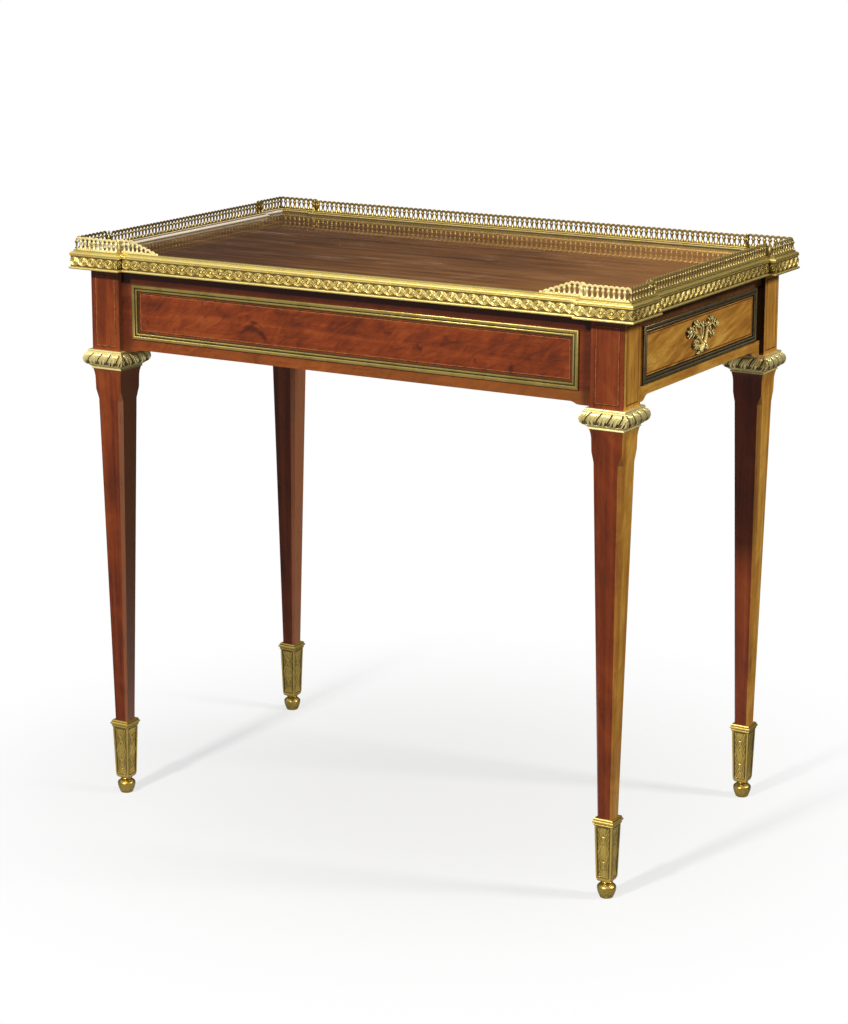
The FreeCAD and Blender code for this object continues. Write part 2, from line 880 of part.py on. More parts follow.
# Drawer box
front_block = block(inner_x, face_x, -drawer_half, drawer_half, drawer_low, drawer_high)
bottom_low = drawer_low + drawer_bottom_lift
bottom_high = bottom_low + drawer_bottom_thickness
drawer_bottom = block(
    drawer_end, inner_x + groove_depth,
    -side_inner - groove_depth, side_inner + groove_depth, bottom_low, bottom_high,
)
drawer_sides = []
for end in (-1, 1):
    drawer_sides.append(side_block(
        end, side_inner, side_outer, drawer_end, inner_x + drawer_lap, drawer_low, side_top,
    ))
drawer_back = block(
    drawer_end, drawer_end + drawer_side_thickness,
    -side_inner, side_inner, bottom_high, side_top,
)
keep("drawer_bottom", drawer_bottom)
keep("drawer_side_front", drawer_sides[0].cut(drawer_bottom).Solids[0])
keep("drawer_side_back", drawer_sides[1].cut(drawer_bottom).Solids[0])
keep("drawer_back", drawer_back)

keep("drawer_moulding", bronze_frame("right", face_x, -drawer_half, drawer_half, drawer_low, drawer_high))
inset = frame_width + panel_line_margin
drawer_lines = inlay(
    "right", face_x, -drawer_half + inset, drawer_half - inset, drawer_low + inset, drawer_high - inset,
)
keep("drawer_stringing_dark", drawer_lines["dark"])
keep("drawer_stringing_light", drawer_lines["light"])

# Lock let into the back of the drawer front, with a bolt that rises into the upper rail
lock_low = drawer_high - lock_height
lock_box = block(inner_x, inner_x + lock_depth, -lock_width / 2, lock_width / 2, lock_low, drawer_high)
bolt_low = drawer_high - bolt_height
bolt_x = inner_x + bolt_back_wall
bolt = block(bolt_x, bolt_x + bolt_thickness, -bolt_width / 2, bolt_width / 2, bolt_low, drawer_high)
bolt_way = block(
    bolt_x - bolt_clearance, bolt_x + bolt_thickness + bolt_clearance,
    -bolt_width / 2 - bolt_clearance, bolt_width / 2 + bolt_clearance,
    bolt_low - bolt_clearance, drawer_high,
)
bolt_mortise = block(
    bolt_x - mortise_clearance, bolt_x + bolt_thickness + mortise_clearance,
    -bolt_width / 2 - mortise_clearance, bolt_width / 2 + mortise_clearance,
    upper_rail_bottom, drawer_high + bolt_throw + mortise_spare,
)
keyhole_z = drawer_low + keyhole_height


def keyhole(x_low, x_high):
    """Round hole with a slot below it, through everything between two planes."""
    hole = Part.makeCylinder(keyhole_radius, x_high - x_low, Vec(x_low, 0, keyhole_z), Vec(1, 0, 0))
    slot = block(x_low, x_high, -keyhole_slot / 2, keyhole_slot / 2, keyhole_z - keyhole_drop, keyhole_z)
    return hole.fuse(slot)


lock_screws = []
for sign_y in (-1, 1):
    for level in (lock_low + lock_screw_inset, drawer_high - lock_screw_inset):
        shape = screw(lock_screw_radius, lock_screw_head, lock_screw_length + lock_depth)
        shape.rotate(Vec(), Vec(0, 1, 0), 90)
        shape.translate(Vec(inner_x, sign_y * (lock_width / 2 - lock_screw_inset), level))
        lock_screws.append(shape)
keep("lock_screws", group(lock_screws))
lock_case = lock_box.cut(bolt_way).cut(group(lock_screws))
keep("lock_case", lock_case.Solids[0])
keep("lock_bolt", bolt)
keep("rail_upper_right", upper_rail.cut(bolt_mortise).Solids[0])


# Foliate escutcheon: a shield between two branches that cross below it, and a ribbon above
def branch_face():
    """Spray from below the shield's point out and up to one side, drawn as (along, up)."""
    half_width = escutcheon_width / 2
    half_height = escutcheon_height / 2
    thick = escutcheon_branch_width
    root = Vec(-thick * 0.75, -half_height)
    tip = Vec(half_width, half_height * 0.38)
    outer_middle = Vec(half_width * 0.5, -half_height * 0.5)
    crown = Vec(half_width - thick * 0.9, half_height * 0.38 + thick * 0.55)
    inner_middle = outer_middle + Vec(-thick * 0.35, thick * 1.15)
    shoulder = root + Vec(0, thick)
    return flat_face([root, (outer_middle, tip), crown, (inner_middle, shoulder)])


def make_escutcheon():
    """The escutcheon's plate on the drawer front, without its keyhole and pin holes."""
    branch = branch_face().extrude(Vec(0, 0, escutcheon_plate))
    other = branch.mirror(Vec(), Vec(1, 0, 0))
    half = escutcheon_shield_width / 2
    top = escutcheon_height / 2
    point = Vec(0, top - escutcheon_shield_height)
    shoulder = top - escutcheon_shield_height * 0.18
    waist = top - escutcheon_shield_height * 0.62
    shield = flat_face([
        Vec(-half, shoulder),
        (Vec(-half * 0.8, waist), point),
        (Vec(half * 0.8, waist), Vec(half, shoulder)),
        (Vec(0, top - escutcheon_shield_height * 0.06), Vec(-half, shoulder)),
    ]).extrude(Vec(0, 0, escutcheon_plate))
    span = escutcheon_ribbon_width / 2
    drop = escutcheon_ribbon_drop
    ribbon = flat_face([
        Vec(-span, top),
        (Vec(0, top - drop * 0.6), Vec(span, top)),
        Vec(span, top - drop),
        (Vec(0, top - drop * 1.6), Vec(-span, top - drop)),
    ]).extrude(Vec(0, 0, escutcheon_plate))
    plate = shield.fuse([branch, other, ribbon]).removeSplitter()
    plate.translate(Vec(0, (drawer_low + drawer_high) / 2, face_x))
    return on_side("right", plate)


escutcheon = make_escutcheon()
pins = []
pin_place_shares = ((-0.68, 0), (-0.3, -0.26), (0.3, -0.26), (0.68, 0))
for along_share, up_share in pin_place_shares:
    shank = Part.makeCylinder(pin_radius, pin_length, Vec(-pin_length, 0, 0), Vec(1, 0, 0))
    head = Part.makeCylinder(pin_head_radius, pin_head_rise, Vec(), Vec(1, 0, 0))
    pin = shank.fuse(head).removeSplitter().Solids[0]
    level = (drawer_low + drawer_high) / 2 + escutcheon_height * up_share
    pin.translate(Vec(face_x + escutcheon_plate, escutcheon_width / 2 * along_share, level))
    pins.append(pin)
keep("escutcheon_pins", group(pins))
hole = keyhole(inner_x - overrun, face_x + escutcheon_plate + overrun)
keep("escutcheon", escutcheon.cut(hole).cut(group(pins)).Solids[0])
front_hole = keyhole(inner_x + lock_depth, face_x + overrun)
drawer_front = front_block
for part in drawer_sides + [drawer_bottom, lock_box, drawer_lines["groove"], front_hole]:
    drawer_front = drawer_front.cut(part)
for part in lock_screws + pins:
    drawer_front = drawer_front.cut(part)
keep("drawer_front", drawer_front.Solids[0])

# Screws through the kickers into the board
top_screws = []
spacing = (2 * inner_x - 2 * top_screw_end_margin) / (top_screw_count - 1)
for end in (-1, 1):
    for index in range(top_screw_count):
        shape = screw(top_screw_radius, top_screw_head, top_screw_length)
        along = -inner_x + top_screw_end_margin + spacing * index
        shape.translate(Vec(along, end * (side_outer - kicker_width / 2), kicker_bottom))
        top_screws.append(shape)
keep("top_screws", group(top_screws))
kickers = [kicker.cut(group(top_screws)).Solids[0] for kicker in kickers]
keep("drawer_kickers", group(kickers))
keep("drawer_runners", group(runners))
keep("top_board", board.cut(group(top_screws)).Solids[0])

os.makedirs("parts", exist_ok=True)
for name in sorted(pieces):
    pieces[name].exportStep("parts/" + name + ".step")
print(len(pieces), "pieces")
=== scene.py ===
"""Looks for the writing table: chased bronze mounts, polished mahogany and a plain pale studio.

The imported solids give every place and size. The bronze mounts are surfaces worked out here on grids of
points and stand for their plain solids. Every other piece keeps its solid and gets its finish.
Metres. +Z is up, the long front faces -Y and the drawer opens towards +X.
"""

import math

import bpy
import numpy as np
from bpy.props import FloatProperty, FloatVectorProperty, IntProperty, PointerProperty
from mathutils import Matrix, Vector


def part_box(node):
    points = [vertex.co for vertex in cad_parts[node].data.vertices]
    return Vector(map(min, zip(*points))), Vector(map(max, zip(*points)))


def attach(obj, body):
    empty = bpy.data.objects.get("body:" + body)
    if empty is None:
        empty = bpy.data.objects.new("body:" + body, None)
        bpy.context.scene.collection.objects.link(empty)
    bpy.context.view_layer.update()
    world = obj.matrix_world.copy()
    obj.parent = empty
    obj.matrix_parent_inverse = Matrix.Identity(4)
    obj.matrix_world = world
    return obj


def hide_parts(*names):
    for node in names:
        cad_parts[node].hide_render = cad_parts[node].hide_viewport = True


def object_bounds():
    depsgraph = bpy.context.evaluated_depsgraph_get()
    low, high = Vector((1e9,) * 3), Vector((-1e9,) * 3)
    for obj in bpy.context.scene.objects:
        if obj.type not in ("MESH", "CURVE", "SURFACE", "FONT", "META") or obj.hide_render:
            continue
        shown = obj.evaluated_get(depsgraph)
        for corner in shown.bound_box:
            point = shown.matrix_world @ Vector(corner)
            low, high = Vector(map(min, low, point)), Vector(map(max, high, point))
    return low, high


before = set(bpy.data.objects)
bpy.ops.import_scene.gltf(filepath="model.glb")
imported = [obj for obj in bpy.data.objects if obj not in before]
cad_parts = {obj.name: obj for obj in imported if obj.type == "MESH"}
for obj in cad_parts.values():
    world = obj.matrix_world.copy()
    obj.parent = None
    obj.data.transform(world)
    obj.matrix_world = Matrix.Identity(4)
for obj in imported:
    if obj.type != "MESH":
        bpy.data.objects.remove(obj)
cad_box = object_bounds()

bl_info = {
    "name": "Writing Table",
    "version": (1, 0, 0),
    "blender": (4, 5, 0),
    "location": "3D View > Sidebar > Writing Table",
    "description": "Dresses a writing table with chased gilt mounts, polished mahogany and a studio",
    "category": "Object",
}

MM = 0.001
LONG_SIDES = ("front", "back")
# Of the five runs of a side, the two short ones where its corner blocks step forward
STEPS = (1, 3)
CORNERS = {"front_left": (-1, -1), "front_right": (1, -1), "back_right": (1, 1),
           "back_left": (-1, 1)}
band_low, band_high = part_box("edge_band_front")
collar_low, collar_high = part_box("collar_front_right")
shoe_low, shoe_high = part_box("sabot_front_right")
foot_low, foot_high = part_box("foot_front_right")
plate_low, plate_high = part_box("escutcheon")
front_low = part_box("drawer_front")[0]
leg_axis = (foot_low + foot_high) / 2
post_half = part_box("leg_front_right")[1].x - leg_axis.x
gallery_inset = cad_box[1].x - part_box("gallery_right")[1].x


def length(name, description, default, **limits):
    """A property that holds a length in metres."""
    return FloatProperty(name=name, description=description, default=default, min=0.0, unit="LENGTH",
                         subtype="DISTANCE", precision=5, **limits)


def degrees(name, description, default):
    """A property that holds an angle, with its default in degrees."""
    return FloatProperty(name=name, description=description, default=math.radians(default),
                         unit="ROTATION", subtype="ANGLE")


def watts(name, default):
    """A property that holds a lamp's power."""
    return FloatProperty(name=name, description="Power in watts", default=default, unit="POWER")


def share(name, description, default):
    """A property that holds a share between 0 and 1."""
    return FloatProperty(name=name, description=description, default=default, min=0.0, max=1.0,
                         subtype="FACTOR")


def tint(name, description, default):
    """A property that holds a colour, as linear red, green and blue."""
    return FloatVectorProperty(name=name, description=description, default=default, size=3, min=0.0,
                               max=1.0, subtype="COLOR")


class BandSettings(bpy.types.PropertyGroup):
    """Sizes of the edge band and of the rim above it."""
    block: length("Corner block", "Length of the blocks at the top's corners", 0.078)
    step: length("Block step", "How far the corner blocks stand forward", 0.009)
    pitch: length("Pitch", "Distance between the bosses of the band", 0.01435)
    ground: length("Ground", "Depth of the carving below the hem", 0.0021)
    relief: length("Relief", "Height of the ribbons above the ground", 0.0018)
    hem: length("Hem", "Height of the plain lower edge", 0.0032)
    fillet: length("Fillet", "Height of the plain upper edge", 0.0012)
    strand: length("Ribbon", "Width of one ribbon", 0.0030)
    boss: length("Boss", "Radius of a boss", 0.0024)
    grain: length("Grain", "Distance between the points of the surface", 0.00040)


class CollarSettings(bpy.types.PropertyGroup):
    """Sizes of the leaf collars."""
    leaves: IntProperty(name="Leaves", description="Leaves on each face", default=4, min=1)
    relief: length("Relief", "Depth of the cuts between the leaves", 0.0026)
    slant: FloatProperty(name="Slant", description="How far a leaf leans, in leaves", default=0.60)
    grain: length("Grain", "Distance between the points of the surface", 0.00045)


class GallerySettings(bpy.types.PropertyGroup):
    """Sizes of the pierced gallery."""
    pitch: length("Pitch", "Distance between the pillars", 0.0074)
    end_pitch: length("End pitch", "Distance between the pillars of the front ends", 0.0067)
    plate: length("Thickness", "Thickness of the gallery", 0.0012)
    rail: length("Rail", "Height of the rail under the pillars", 0.0019)
    bar: length("Bar", "Half the width of an arch's bar", 0.0018)
    pillar: length("Pillar", "Radius of a pillar where its outline is 1", 0.0027)
    level: IntProperty(name="Level arches", description="Full arches past a front end's step",
                       default=3)
    ramp: IntProperty(name="Ramp arches", description="Falling arches of a front end", default=5)
    ramp_end: length("Ramp end", "Height at which a ramp ends", 0.0026)
    tab: length("Tab", "Length of the rail past the ramp", 0.0052)


class FrameSettings(bpy.types.PropertyGroup):
    """Sizes of the bronze frames."""
    width: length("Width", "Width of a frame", 0.0096)


class ShoeSettings(bpy.types.PropertyGroup):
    """Sizes of the shoes on the legs."""
    panel: length("Panel depth", "How deep the panels lie between the edges", 0.0009)
    border: share("Border", "Width of the raised edges, as a share of the face", 0.11)
    lozenges: IntProperty(name="Lozenges", description="Lozenges down each panel", default=2, min=1)
    grain: length("Grain", "Distance between the points of the surface", 0.0005)


class WoodSettings(bpy.types.PropertyGroup):
    """Colours of the woods."""
    red_dark: tint("Red, dark", "Dark streaks of the red faces", (0.092, 0.016, 0.004))
    red: tint("Red", "Ground of the red faces", (0.200, 0.034, 0.006))
    red_light: tint("Red, light", "Light streaks of the red faces", (0.290, 0.062, 0.012))
    # The golden tones are the drawer front's wood, and also painted light on the +X faces at the table's
    # right end.
    gold_dark: tint("Golden, dark", "Dark streaks of the golden faces", (0.300, 0.118, 0.018))
    gold: tint("Golden", "Ground of the golden faces", (0.470, 0.220, 0.032))
    gold_light: tint("Golden, light", "Light streaks of the golden faces", (0.660, 0.370, 0.066))
    top_dark: tint("Top, dark", "Dark streaks of the top", (0.095, 0.036, 0.013))
    top: tint("Top", "Ground of the top", (0.205, 0.081, 0.024))
    top_light: tint("Top, light", "Light streaks of the top", (0.360, 0.156, 0.044))
    oak: tint("Oak", "Unpolished oak inside the carcase", (0.400, 0.250, 0.120))
    # The inner colour is painted shade: the top shades the left legs' inner sides.
    inner: tint("Inner sides", "Dark brown inner sides of the left legs", (0.350, 0.142, 0.066))
    line_dark: tint("Dark line", "The dark inlaid line", (0.014, 0.005, 0.003))
    line_light: tint("Light line", "The light inlaid line", (0.310, 0.100, 0.030))


class MetalSettings(bpy.types.PropertyGroup):
    """Colours of the metals."""
    gilt: tint("Gilding", "Bright gilding on what stands proud", (0.870, 0.710, 0.260))
    worn: tint("Worn gilding", "Gilding gone dull", (0.560, 0.410, 0.130))
    hollow: tint("Hollows", "Dark wax and dust in the hollows", (0.105, 0.068, 0.013))
    aged: tint("Aged gilding", "Brown gilding of the shoes and feet", (0.680, 0.484, 0.119))
    # Grime in the deepest grooves, also used as painted shade on the gallery's bars and pillars and on
    # the frames' edges.
    grime: tint("Grime", "Nearly black dirt in the deepest grooves", (0.040, 0.028, 0.012))
    dark: tint("Dark bronze", "The drawer's frame", (0.130, 0.098, 0.050))
    steel: tint("Steel", "Lock and screws", (0.400, 0.380, 0.350))
    rim_line: tint("Rim line", "The thin line let into the rim", (0.150, 0.030, 0.018))


class StageSettings(bpy.types.PropertyGroup):
    """Camera, lamps and floor."""
    camera_place: FloatVectorProperty(name="Camera", description="Where the camera stands", size=3,
                                      default=(1.678, -2.883, 1.230), unit="LENGTH",
                                      subtype="TRANSLATION")
    yaw: degrees("Yaw", "Turn of the camera to the left", 30.0)
    pitch: degrees("Pitch", "How far the camera looks down", 11.98)
    roll: degrees("Roll", "Turn of the camera about its view", 0.2)
    lens: FloatProperty(name="Lens", description="Focal length in millimetres", default=92.32, min=1.0)
    shift: FloatVectorProperty(name="Shift", description="Sideways and upward shift of the view",
                               size=2, default=(-0.0195, -0.0977))
    floor: tint("Floor", "Colour of the floor", (0.690, 0.698, 0.713))
    floor_reach: length("Floor reach", "Radius at which the floor has faded away", 0.82)
    floor_ahead: length("Floor ahead", "How far in front of the table the floor's middle lies", 0.01)
    front_power: watts("Front lamp", 165.0)
    right_power: watts("Right lamp", 112.0)
    top_power: watts("Top lamp", 9.0)
    fill: share("Fill", "Light from all round", 0.23)


class TableSettings(bpy.types.PropertyGroup):
    """Everything that can be set on the table."""
    band: PointerProperty(type=BandSettings)
    collar: PointerProperty(type=CollarSettings)
    gallery: PointerProperty(type=GallerySettings)
    frames: PointerProperty(type=FrameSettings)
    shoe: PointerProperty(type=ShoeSettings)
    wood: PointerProperty(type=WoodSettings)
    metal: PointerProperty(type=MetalSettings)
    stage: PointerProperty(type=StageSettings)


def settings():
    """The table's settings in the open scene."""
    return bpy.context.scene.writing_table


# Shader graphs written as expressions
class Value:
    """A number that varies over a surface. Arithmetic on it adds Math nodes."""

    def __init__(self, graph, socket):
        self.graph = graph
        self.socket = socket

    def __add__(self, other):
        return self.graph.math("ADD", self, other)

    def __sub__(self, other):
        return self.graph.math("SUBTRACT", self, other)

    def __rsub__(self, other):
        return self.graph.math("SUBTRACT", other, self)

    def __mul__(self, other):
        return self.graph.math("MULTIPLY", self, other)

    def __abs__(self):
        return self.graph.math("ABSOLUTE", self)

    __radd__ = __add__
    __rmul__ = __mul__

    def smooth(self, low, high):
        """0 below low, 1 above high and an even curve between, or the other way round."""
        node = self.graph.node("ShaderNodeMapRange", {"interpolation_type": "SMOOTHSTEP"}, {
            "Value": self, "From Min": low, "From Max": high})
        return Value(self.graph, node.outputs[0])


class Graph:
    """The nodes of one material, or of a world, whose place is the direction that a ray looks in."""

    def __init__(self, name, world=False):
        self.material = (bpy.data.worlds if world else bpy.data.materials).new(name)
        self.material.use_nodes = True
        self.tree = self.material.node_tree
        self.shader = self.tree.nodes["Background" if world else "Principled BSDF"]
        self.place = self.node("ShaderNodeTexCoord").outputs["Generated" if world else "Object"]

    def node(self, kind, settings=None, sockets=None):
        """Adds a node, gives it its settings and then the values or links of its sockets."""
        node = self.tree.nodes.new(kind)
        for key, value in (settings or {}).items():
            setattr(node, key, value)
        for key, value in (sockets or {}).items():
            self.feed(node.inputs[key], value)
        return node

    def feed(self, socket, value):
        """Links a value or a socket to an input, or sets a plain one."""
        if isinstance(value, Value):
            self.tree.links.new(value.socket, socket)
        elif isinstance(value, bpy.types.NodeSocket):
            self.tree.links.new(value, socket)
        elif socket.type == "RGBA" and len(value) == 3:
            socket.default_value = (*value, 1.0)
        else:
            socket.default_value = value

    def math(self, operation, *terms):
        """One Math node."""
        node = self.node("ShaderNodeMath", {"operation": operation}, dict(enumerate(terms)))
        return Value(self, node.outputs[0])

    def noise(self, waves, detail, roughness, distortion=0.0, turn=(0.0, 0.0, 0.0)):
        """Even noise between 0 and 1, with so many waves a metre along each turned axis."""
        turned = self.node("ShaderNodeMapping", {"vector_type": "POINT"}, {
            "Vector": self.place, "Rotation": turn}).outputs[0]
        place = self.node("ShaderNodeVectorMath", {"operation": "MULTIPLY"}, {
            0: turned, 1: waves}).outputs[0]
        node = self.node("ShaderNodeTexNoise", {"noise_dimensions": "3D"}, {
            "Vector": place, "Scale": 1.0, "Detail": detail, "Roughness": roughness,
            "Distortion": distortion})
        return Value(self, node.outputs[0])

    def ramp(self, value, places, colours):
        """A colour from a value, through colours at places between 0 and 1."""
        node = self.node("ShaderNodeValToRGB", None, {"Fac": value})
        elements = node.color_ramp.elements
        while len(elements) < len(places):
            elements.new(1.0)
        for element, place, colour in zip(elements, places, colours):
            element.position = place
            element.color = (*colour, 1.0)
        return node.outputs["Color"]

    def mix(self, factor, first, second):
        """A colour between two."""
        node = self.node("ShaderNodeMix", {"data_type": "RGBA"}, {
            "Factor": factor, 6: first, 7: second})
        return node.outputs[2]

    def split(self, vector):
        """The three coordinates of a vector."""
        node = self.node("ShaderNodeSeparateXYZ", None, {0: vector})
        return [Value(self, output) for output in node.outputs]

    def ray(self, kind):
        """1 on rays of one kind and 0 on all others."""
        return Value(self, self.node("ShaderNodeLightPath").outputs["Is " + kind + " Ray"])

    def attribute(self, name):
        """A value that the piece carries on its own points, or 0 where it has none."""
        node = self.node("ShaderNodeAttribute", {"attribute_name": name})
        return Value(self, node.outputs["Fac"])

    def bump(self, height, depth, strength):
        """Feeds a height between 0 and 1 to the shader's normal, as deep as given in metres."""
        node = self.node("ShaderNodeBump", None, {
            "Height": height, "Distance": depth, "Strength": strength})
        self.feed(self.shader.inputs["Normal"], node.outputs[0])

    def finish(self, **sockets):
        """Feeds the shader's sockets, named with underscores for spaces, and returns the material."""
        for key, value in sockets.items():
            self.feed(self.shader.inputs[key.replace("_", " ")], value)
        return self.material


# Waves a metre of the streaks along X, Y and Z, for grain that runs along each of them
GRAIN = {"x": (3.0, 85.0, 85.0), "y": (85.0, 3.0, 85.0), "z": (85.0, 85.0, 3.0)}
# Where the noise of streaks turns from dark to middle to light
STREAK_STOPS = (0.38, 0.50, 0.62)
# Between which levels the noise of pores and knots sets in
SPOTS = (0.60, 0.72)
# Between which levels a face counts as looking along an axis
SIDEWAYS = (0.55, 0.80)
FRENCH_POLISH = {"Coat_Weight": 0.18, "Coat_Roughness": 0.12, "Coat_IOR": 1.45,
                 "Specular_IOR_Level": 0.22}
WHITE = (1.0, 1.0, 1.0)
# Nearly black painted shade for the recess beside the drawer
RECESS_SHADE = (0.010, 0.005, 0.003)
SCRATCH = (0.55, 0.43, 0.32)
RUST = (0.14, 0.075, 0.035)


def times(numbers, factor):
    """Three numbers times a factor, such as a darker or lighter colour."""
    return tuple(number * factor for number in numbers)


def wood(name, grain, red, golden, figure=0.35, knots=0.0):
    """Polished wood: stretched noise for its streaks, broad noise for its drift and short dark pores.

    Faces that look along +X take golden tones at the table's right end, painted light for the warm lamp
    on that side, and dark brown ones on the inner sides of the left legs, painted shade of the top.
    Faces deep in the recess beside the drawer are painted nearly black as shade, and a dark line runs
    down the posts' canted edges. Wood with knots is a long frieze's: it is dark above its frame, from
    darker wood and from painted shadow of the edge band, dark beside it and lighter below it.
    """
    g = Graph(name)
    x, y, z = g.split(g.place)
    facing_x, facing_y, _ = g.split(g.node("ShaderNodeTexCoord").outputs["Normal"])
    waves = GRAIN[grain]
    streaks = g.noise(waves, 5.0, 0.62, 0.6)
    drift = g.noise((9.0, 9.0, 9.0), 3.0, 0.5, 0.8)
    if grain == "x":
        curl = g.noise((34.0, 20.0, 90.0), 4.0, 0.6, 1.2, (0.0, math.radians(32.0), 0.0))
    else:
        curl = g.noise(times(waves, 0.5), 4.0, 0.6, 1.2, (0.5, 0.4, 0.6))
    tone = (streaks * (1.0 - figure) + curl * figure) * 0.72 + drift * 0.28
    short = tuple(wave * (9.0 if wave == max(waves) else 12.0) for wave in waves)
    dashes = g.noise(short, 2.0, 0.5).smooth(*SPOTS)
    rightward = facing_x.smooth(*SIDEWAYS)
    right_end = x.smooth(0.20, 0.30)
    over_collar = z.smooth(collar_high.z, collar_high.z + 4 * MM)
    colour = g.ramp(tone, STREAK_STOPS, red)
    # Painted light: +X faces at the right end take golden tones, for the warm lamp on that side.
    colour = g.mix(rightward * right_end, colour, g.ramp(tone, STREAK_STOPS, golden))
    # Painted shade: the other +X faces, the left legs' inner sides, take a dark brown for the top's
    # shade.
    colour = g.mix(rightward * (1.0 - right_end) * 0.88, colour, tuple(settings().wood.inner))
    if knots:
        spot = g.noise((26.0, 26.0, 34.0), 3.0, 0.6, 0.8).smooth(*SPOTS)
        colour = g.mix(spot * knots, colour, times(red[0], 0.30))
    # Painted shade: faces deep in the recess beside the drawer are made nearly black.
    recess = (facing_y * -1.0).smooth(*SIDEWAYS) * y.smooth(0.14, 0.16) * over_collar
    colour = g.mix(recess * 0.95, colour, RECESS_SHADE)
    if knots:
        panel_low, panel_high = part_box("panel_moulding_front")
        beside = abs(x).smooth(panel_high.x - 2 * MM, panel_high.x + 9 * MM)
        above = z.smooth(panel_high.z - 3 * MM, panel_high.z + 3 * MM)
        below = z.smooth(panel_low.z + 3 * MM, panel_low.z - 3 * MM)
        colour = g.mix(below * (x * 0.55 + 0.30), colour, golden[0])
        colour = g.mix(beside * (1.0 - drift * 0.4) * 0.85, colour, times(red[0], 0.45))
        # Painted shadow of the edge band, with darker wood: the frieze is darkened above its frame.
        colour = g.mix(above * 0.80, colour, times(red[0], 0.42))
    canted = abs(facing_x * facing_y).smooth(0.38, 0.46) * over_collar
    colour = g.mix(canted * 0.85, colour, times(red[0], 0.35))
    colour = g.mix(dashes * 0.45, colour, times(red[0], 0.50))
    g.bump(dashes * -0.6 + streaks * 0.4, 0.00010, 0.4)
    return g.finish(Base_Color=colour, Roughness=0.32 + dashes * 0.15 + drift * 0.10, **FRENCH_POLISH)


def drawer_wood(name, golden):
    """The drawer front's golden wood, with broad diagonal streaks that cross its length."""
    g = Graph(name)
    turn = (math.radians(-15.0), 0.0, 0.0)
    long_streaks = g.noise((30.0, 9.0, 90.0), 5.0, 0.60, 1.4, turn)
    broad = g.noise((10.0, 7.0, 26.0), 3.0, 0.5, 1.2, turn)
    pores = g.noise((300.0, 40.0, 900.0), 2.0, 0.5).smooth(*SPOTS)
    colour = g.ramp(long_streaks * 0.5 + broad * 0.5, STREAK_STOPS, golden)
    colour = g.mix(pores * 0.30, colour, times(golden[0], 0.45))
    g.bump(pores * -0.6 + long_streaks * 0.4, 0.00010, 0.4)
    return g.finish(Base_Color=colour, Roughness=0.32 + pores * 0.15, **FRENCH_POLISH)


def top_wood(name, tones):
    """The top's brown wood, faded towards its right end, with fine pale scratches in its polish."""
    g = Graph(name)
    streaks = g.noise((3.2, 70.0, 70.0), 6.0, 0.62, 0.5)
    drift = g.noise((5.0, 9.0, 9.0), 3.0, 0.5, 1.0)
    pores = g.noise((45.0, 900.0, 900.0), 2.0, 0.5).smooth(*SPOTS)
    lengthwise = g.noise((6.0, 260.0, 260.0), 3.0, 0.5, turn=(0.0, 0.0, math.radians(4.0)))
    crossing = g.noise((10.0, 420.0, 420.0), 2.0, 0.5, turn=(0.0, 0.0, math.radians(-9.0)))
    wear = g.noise((7.0, 14.0, 14.0), 4.0, 0.6, 1.2).smooth(0.46, 0.62)
    scratches = (lengthwise.smooth(0.625, 0.68) + crossing.smooth(0.635, 0.68) * 0.8) * wear
    faded = g.split(g.place)[0] * 0.47
    colour = g.ramp(streaks * 0.65 + drift * 0.35 + faded, (0.36, 0.50, 0.66), tones)
    colour = g.mix(pores * 0.35, colour, times(tones[0], 0.5))
    colour = g.mix(scratches * 0.50, colour, SCRATCH)
    g.bump(streaks * 0.5 - scratches * 0.5, 0.00008, 0.15)
    return g.finish(Base_Color=colour, Roughness=0.30 + wear * 0.10 + scratches * 0.2,
                    Coat_Weight=0.75, Coat_Roughness=0.015, Coat_IOR=1.45, Specular_IOR_Level=0.15)


def bare_oak(name, colour):
    """Planed oak with open pores and pale rays."""
    g = Graph(name)
    streaks = g.noise((5.0, 120.0, 120.0), 5.0, 0.6, 0.4)
    rays = g.noise((120.0, 14.0, 400.0), 2.0, 0.5).smooth(0.58, 0.66)
    pores = g.noise((60.0, 1100.0, 1100.0), 2.0, 0.5).smooth(0.58, 0.68)
    tone = g.ramp(streaks, (0.32, 0.5, 0.68), (times(colour, 0.6), colour, times(colour, 1.2)))
    tone = g.mix(rays * 0.25, tone, times(colour, 1.4))
    tone = g.mix(pores * 0.5, tone, times(colour, 0.35))
    g.bump(streaks * 0.4 - pores, 0.0002, 0.6)
    return g.finish(Base_Color=tone, Roughness=0.62 + streaks * 0.2)


def line_wood(name, colour):
    """A thin inlaid line with its own short grain."""
    g = Graph(name)
    grain = g.noise((160.0, 160.0, 160.0), 4.0, 0.6, 0.5)
    tone = g.ramp(grain, (0.34, 0.5, 0.66), (times(colour, 0.55), colour, times(colour, 1.35)))
    return g.finish(Base_Color=tone, Roughness=0.36 + grain * 0.14, Specular_IOR_Level=0.15)


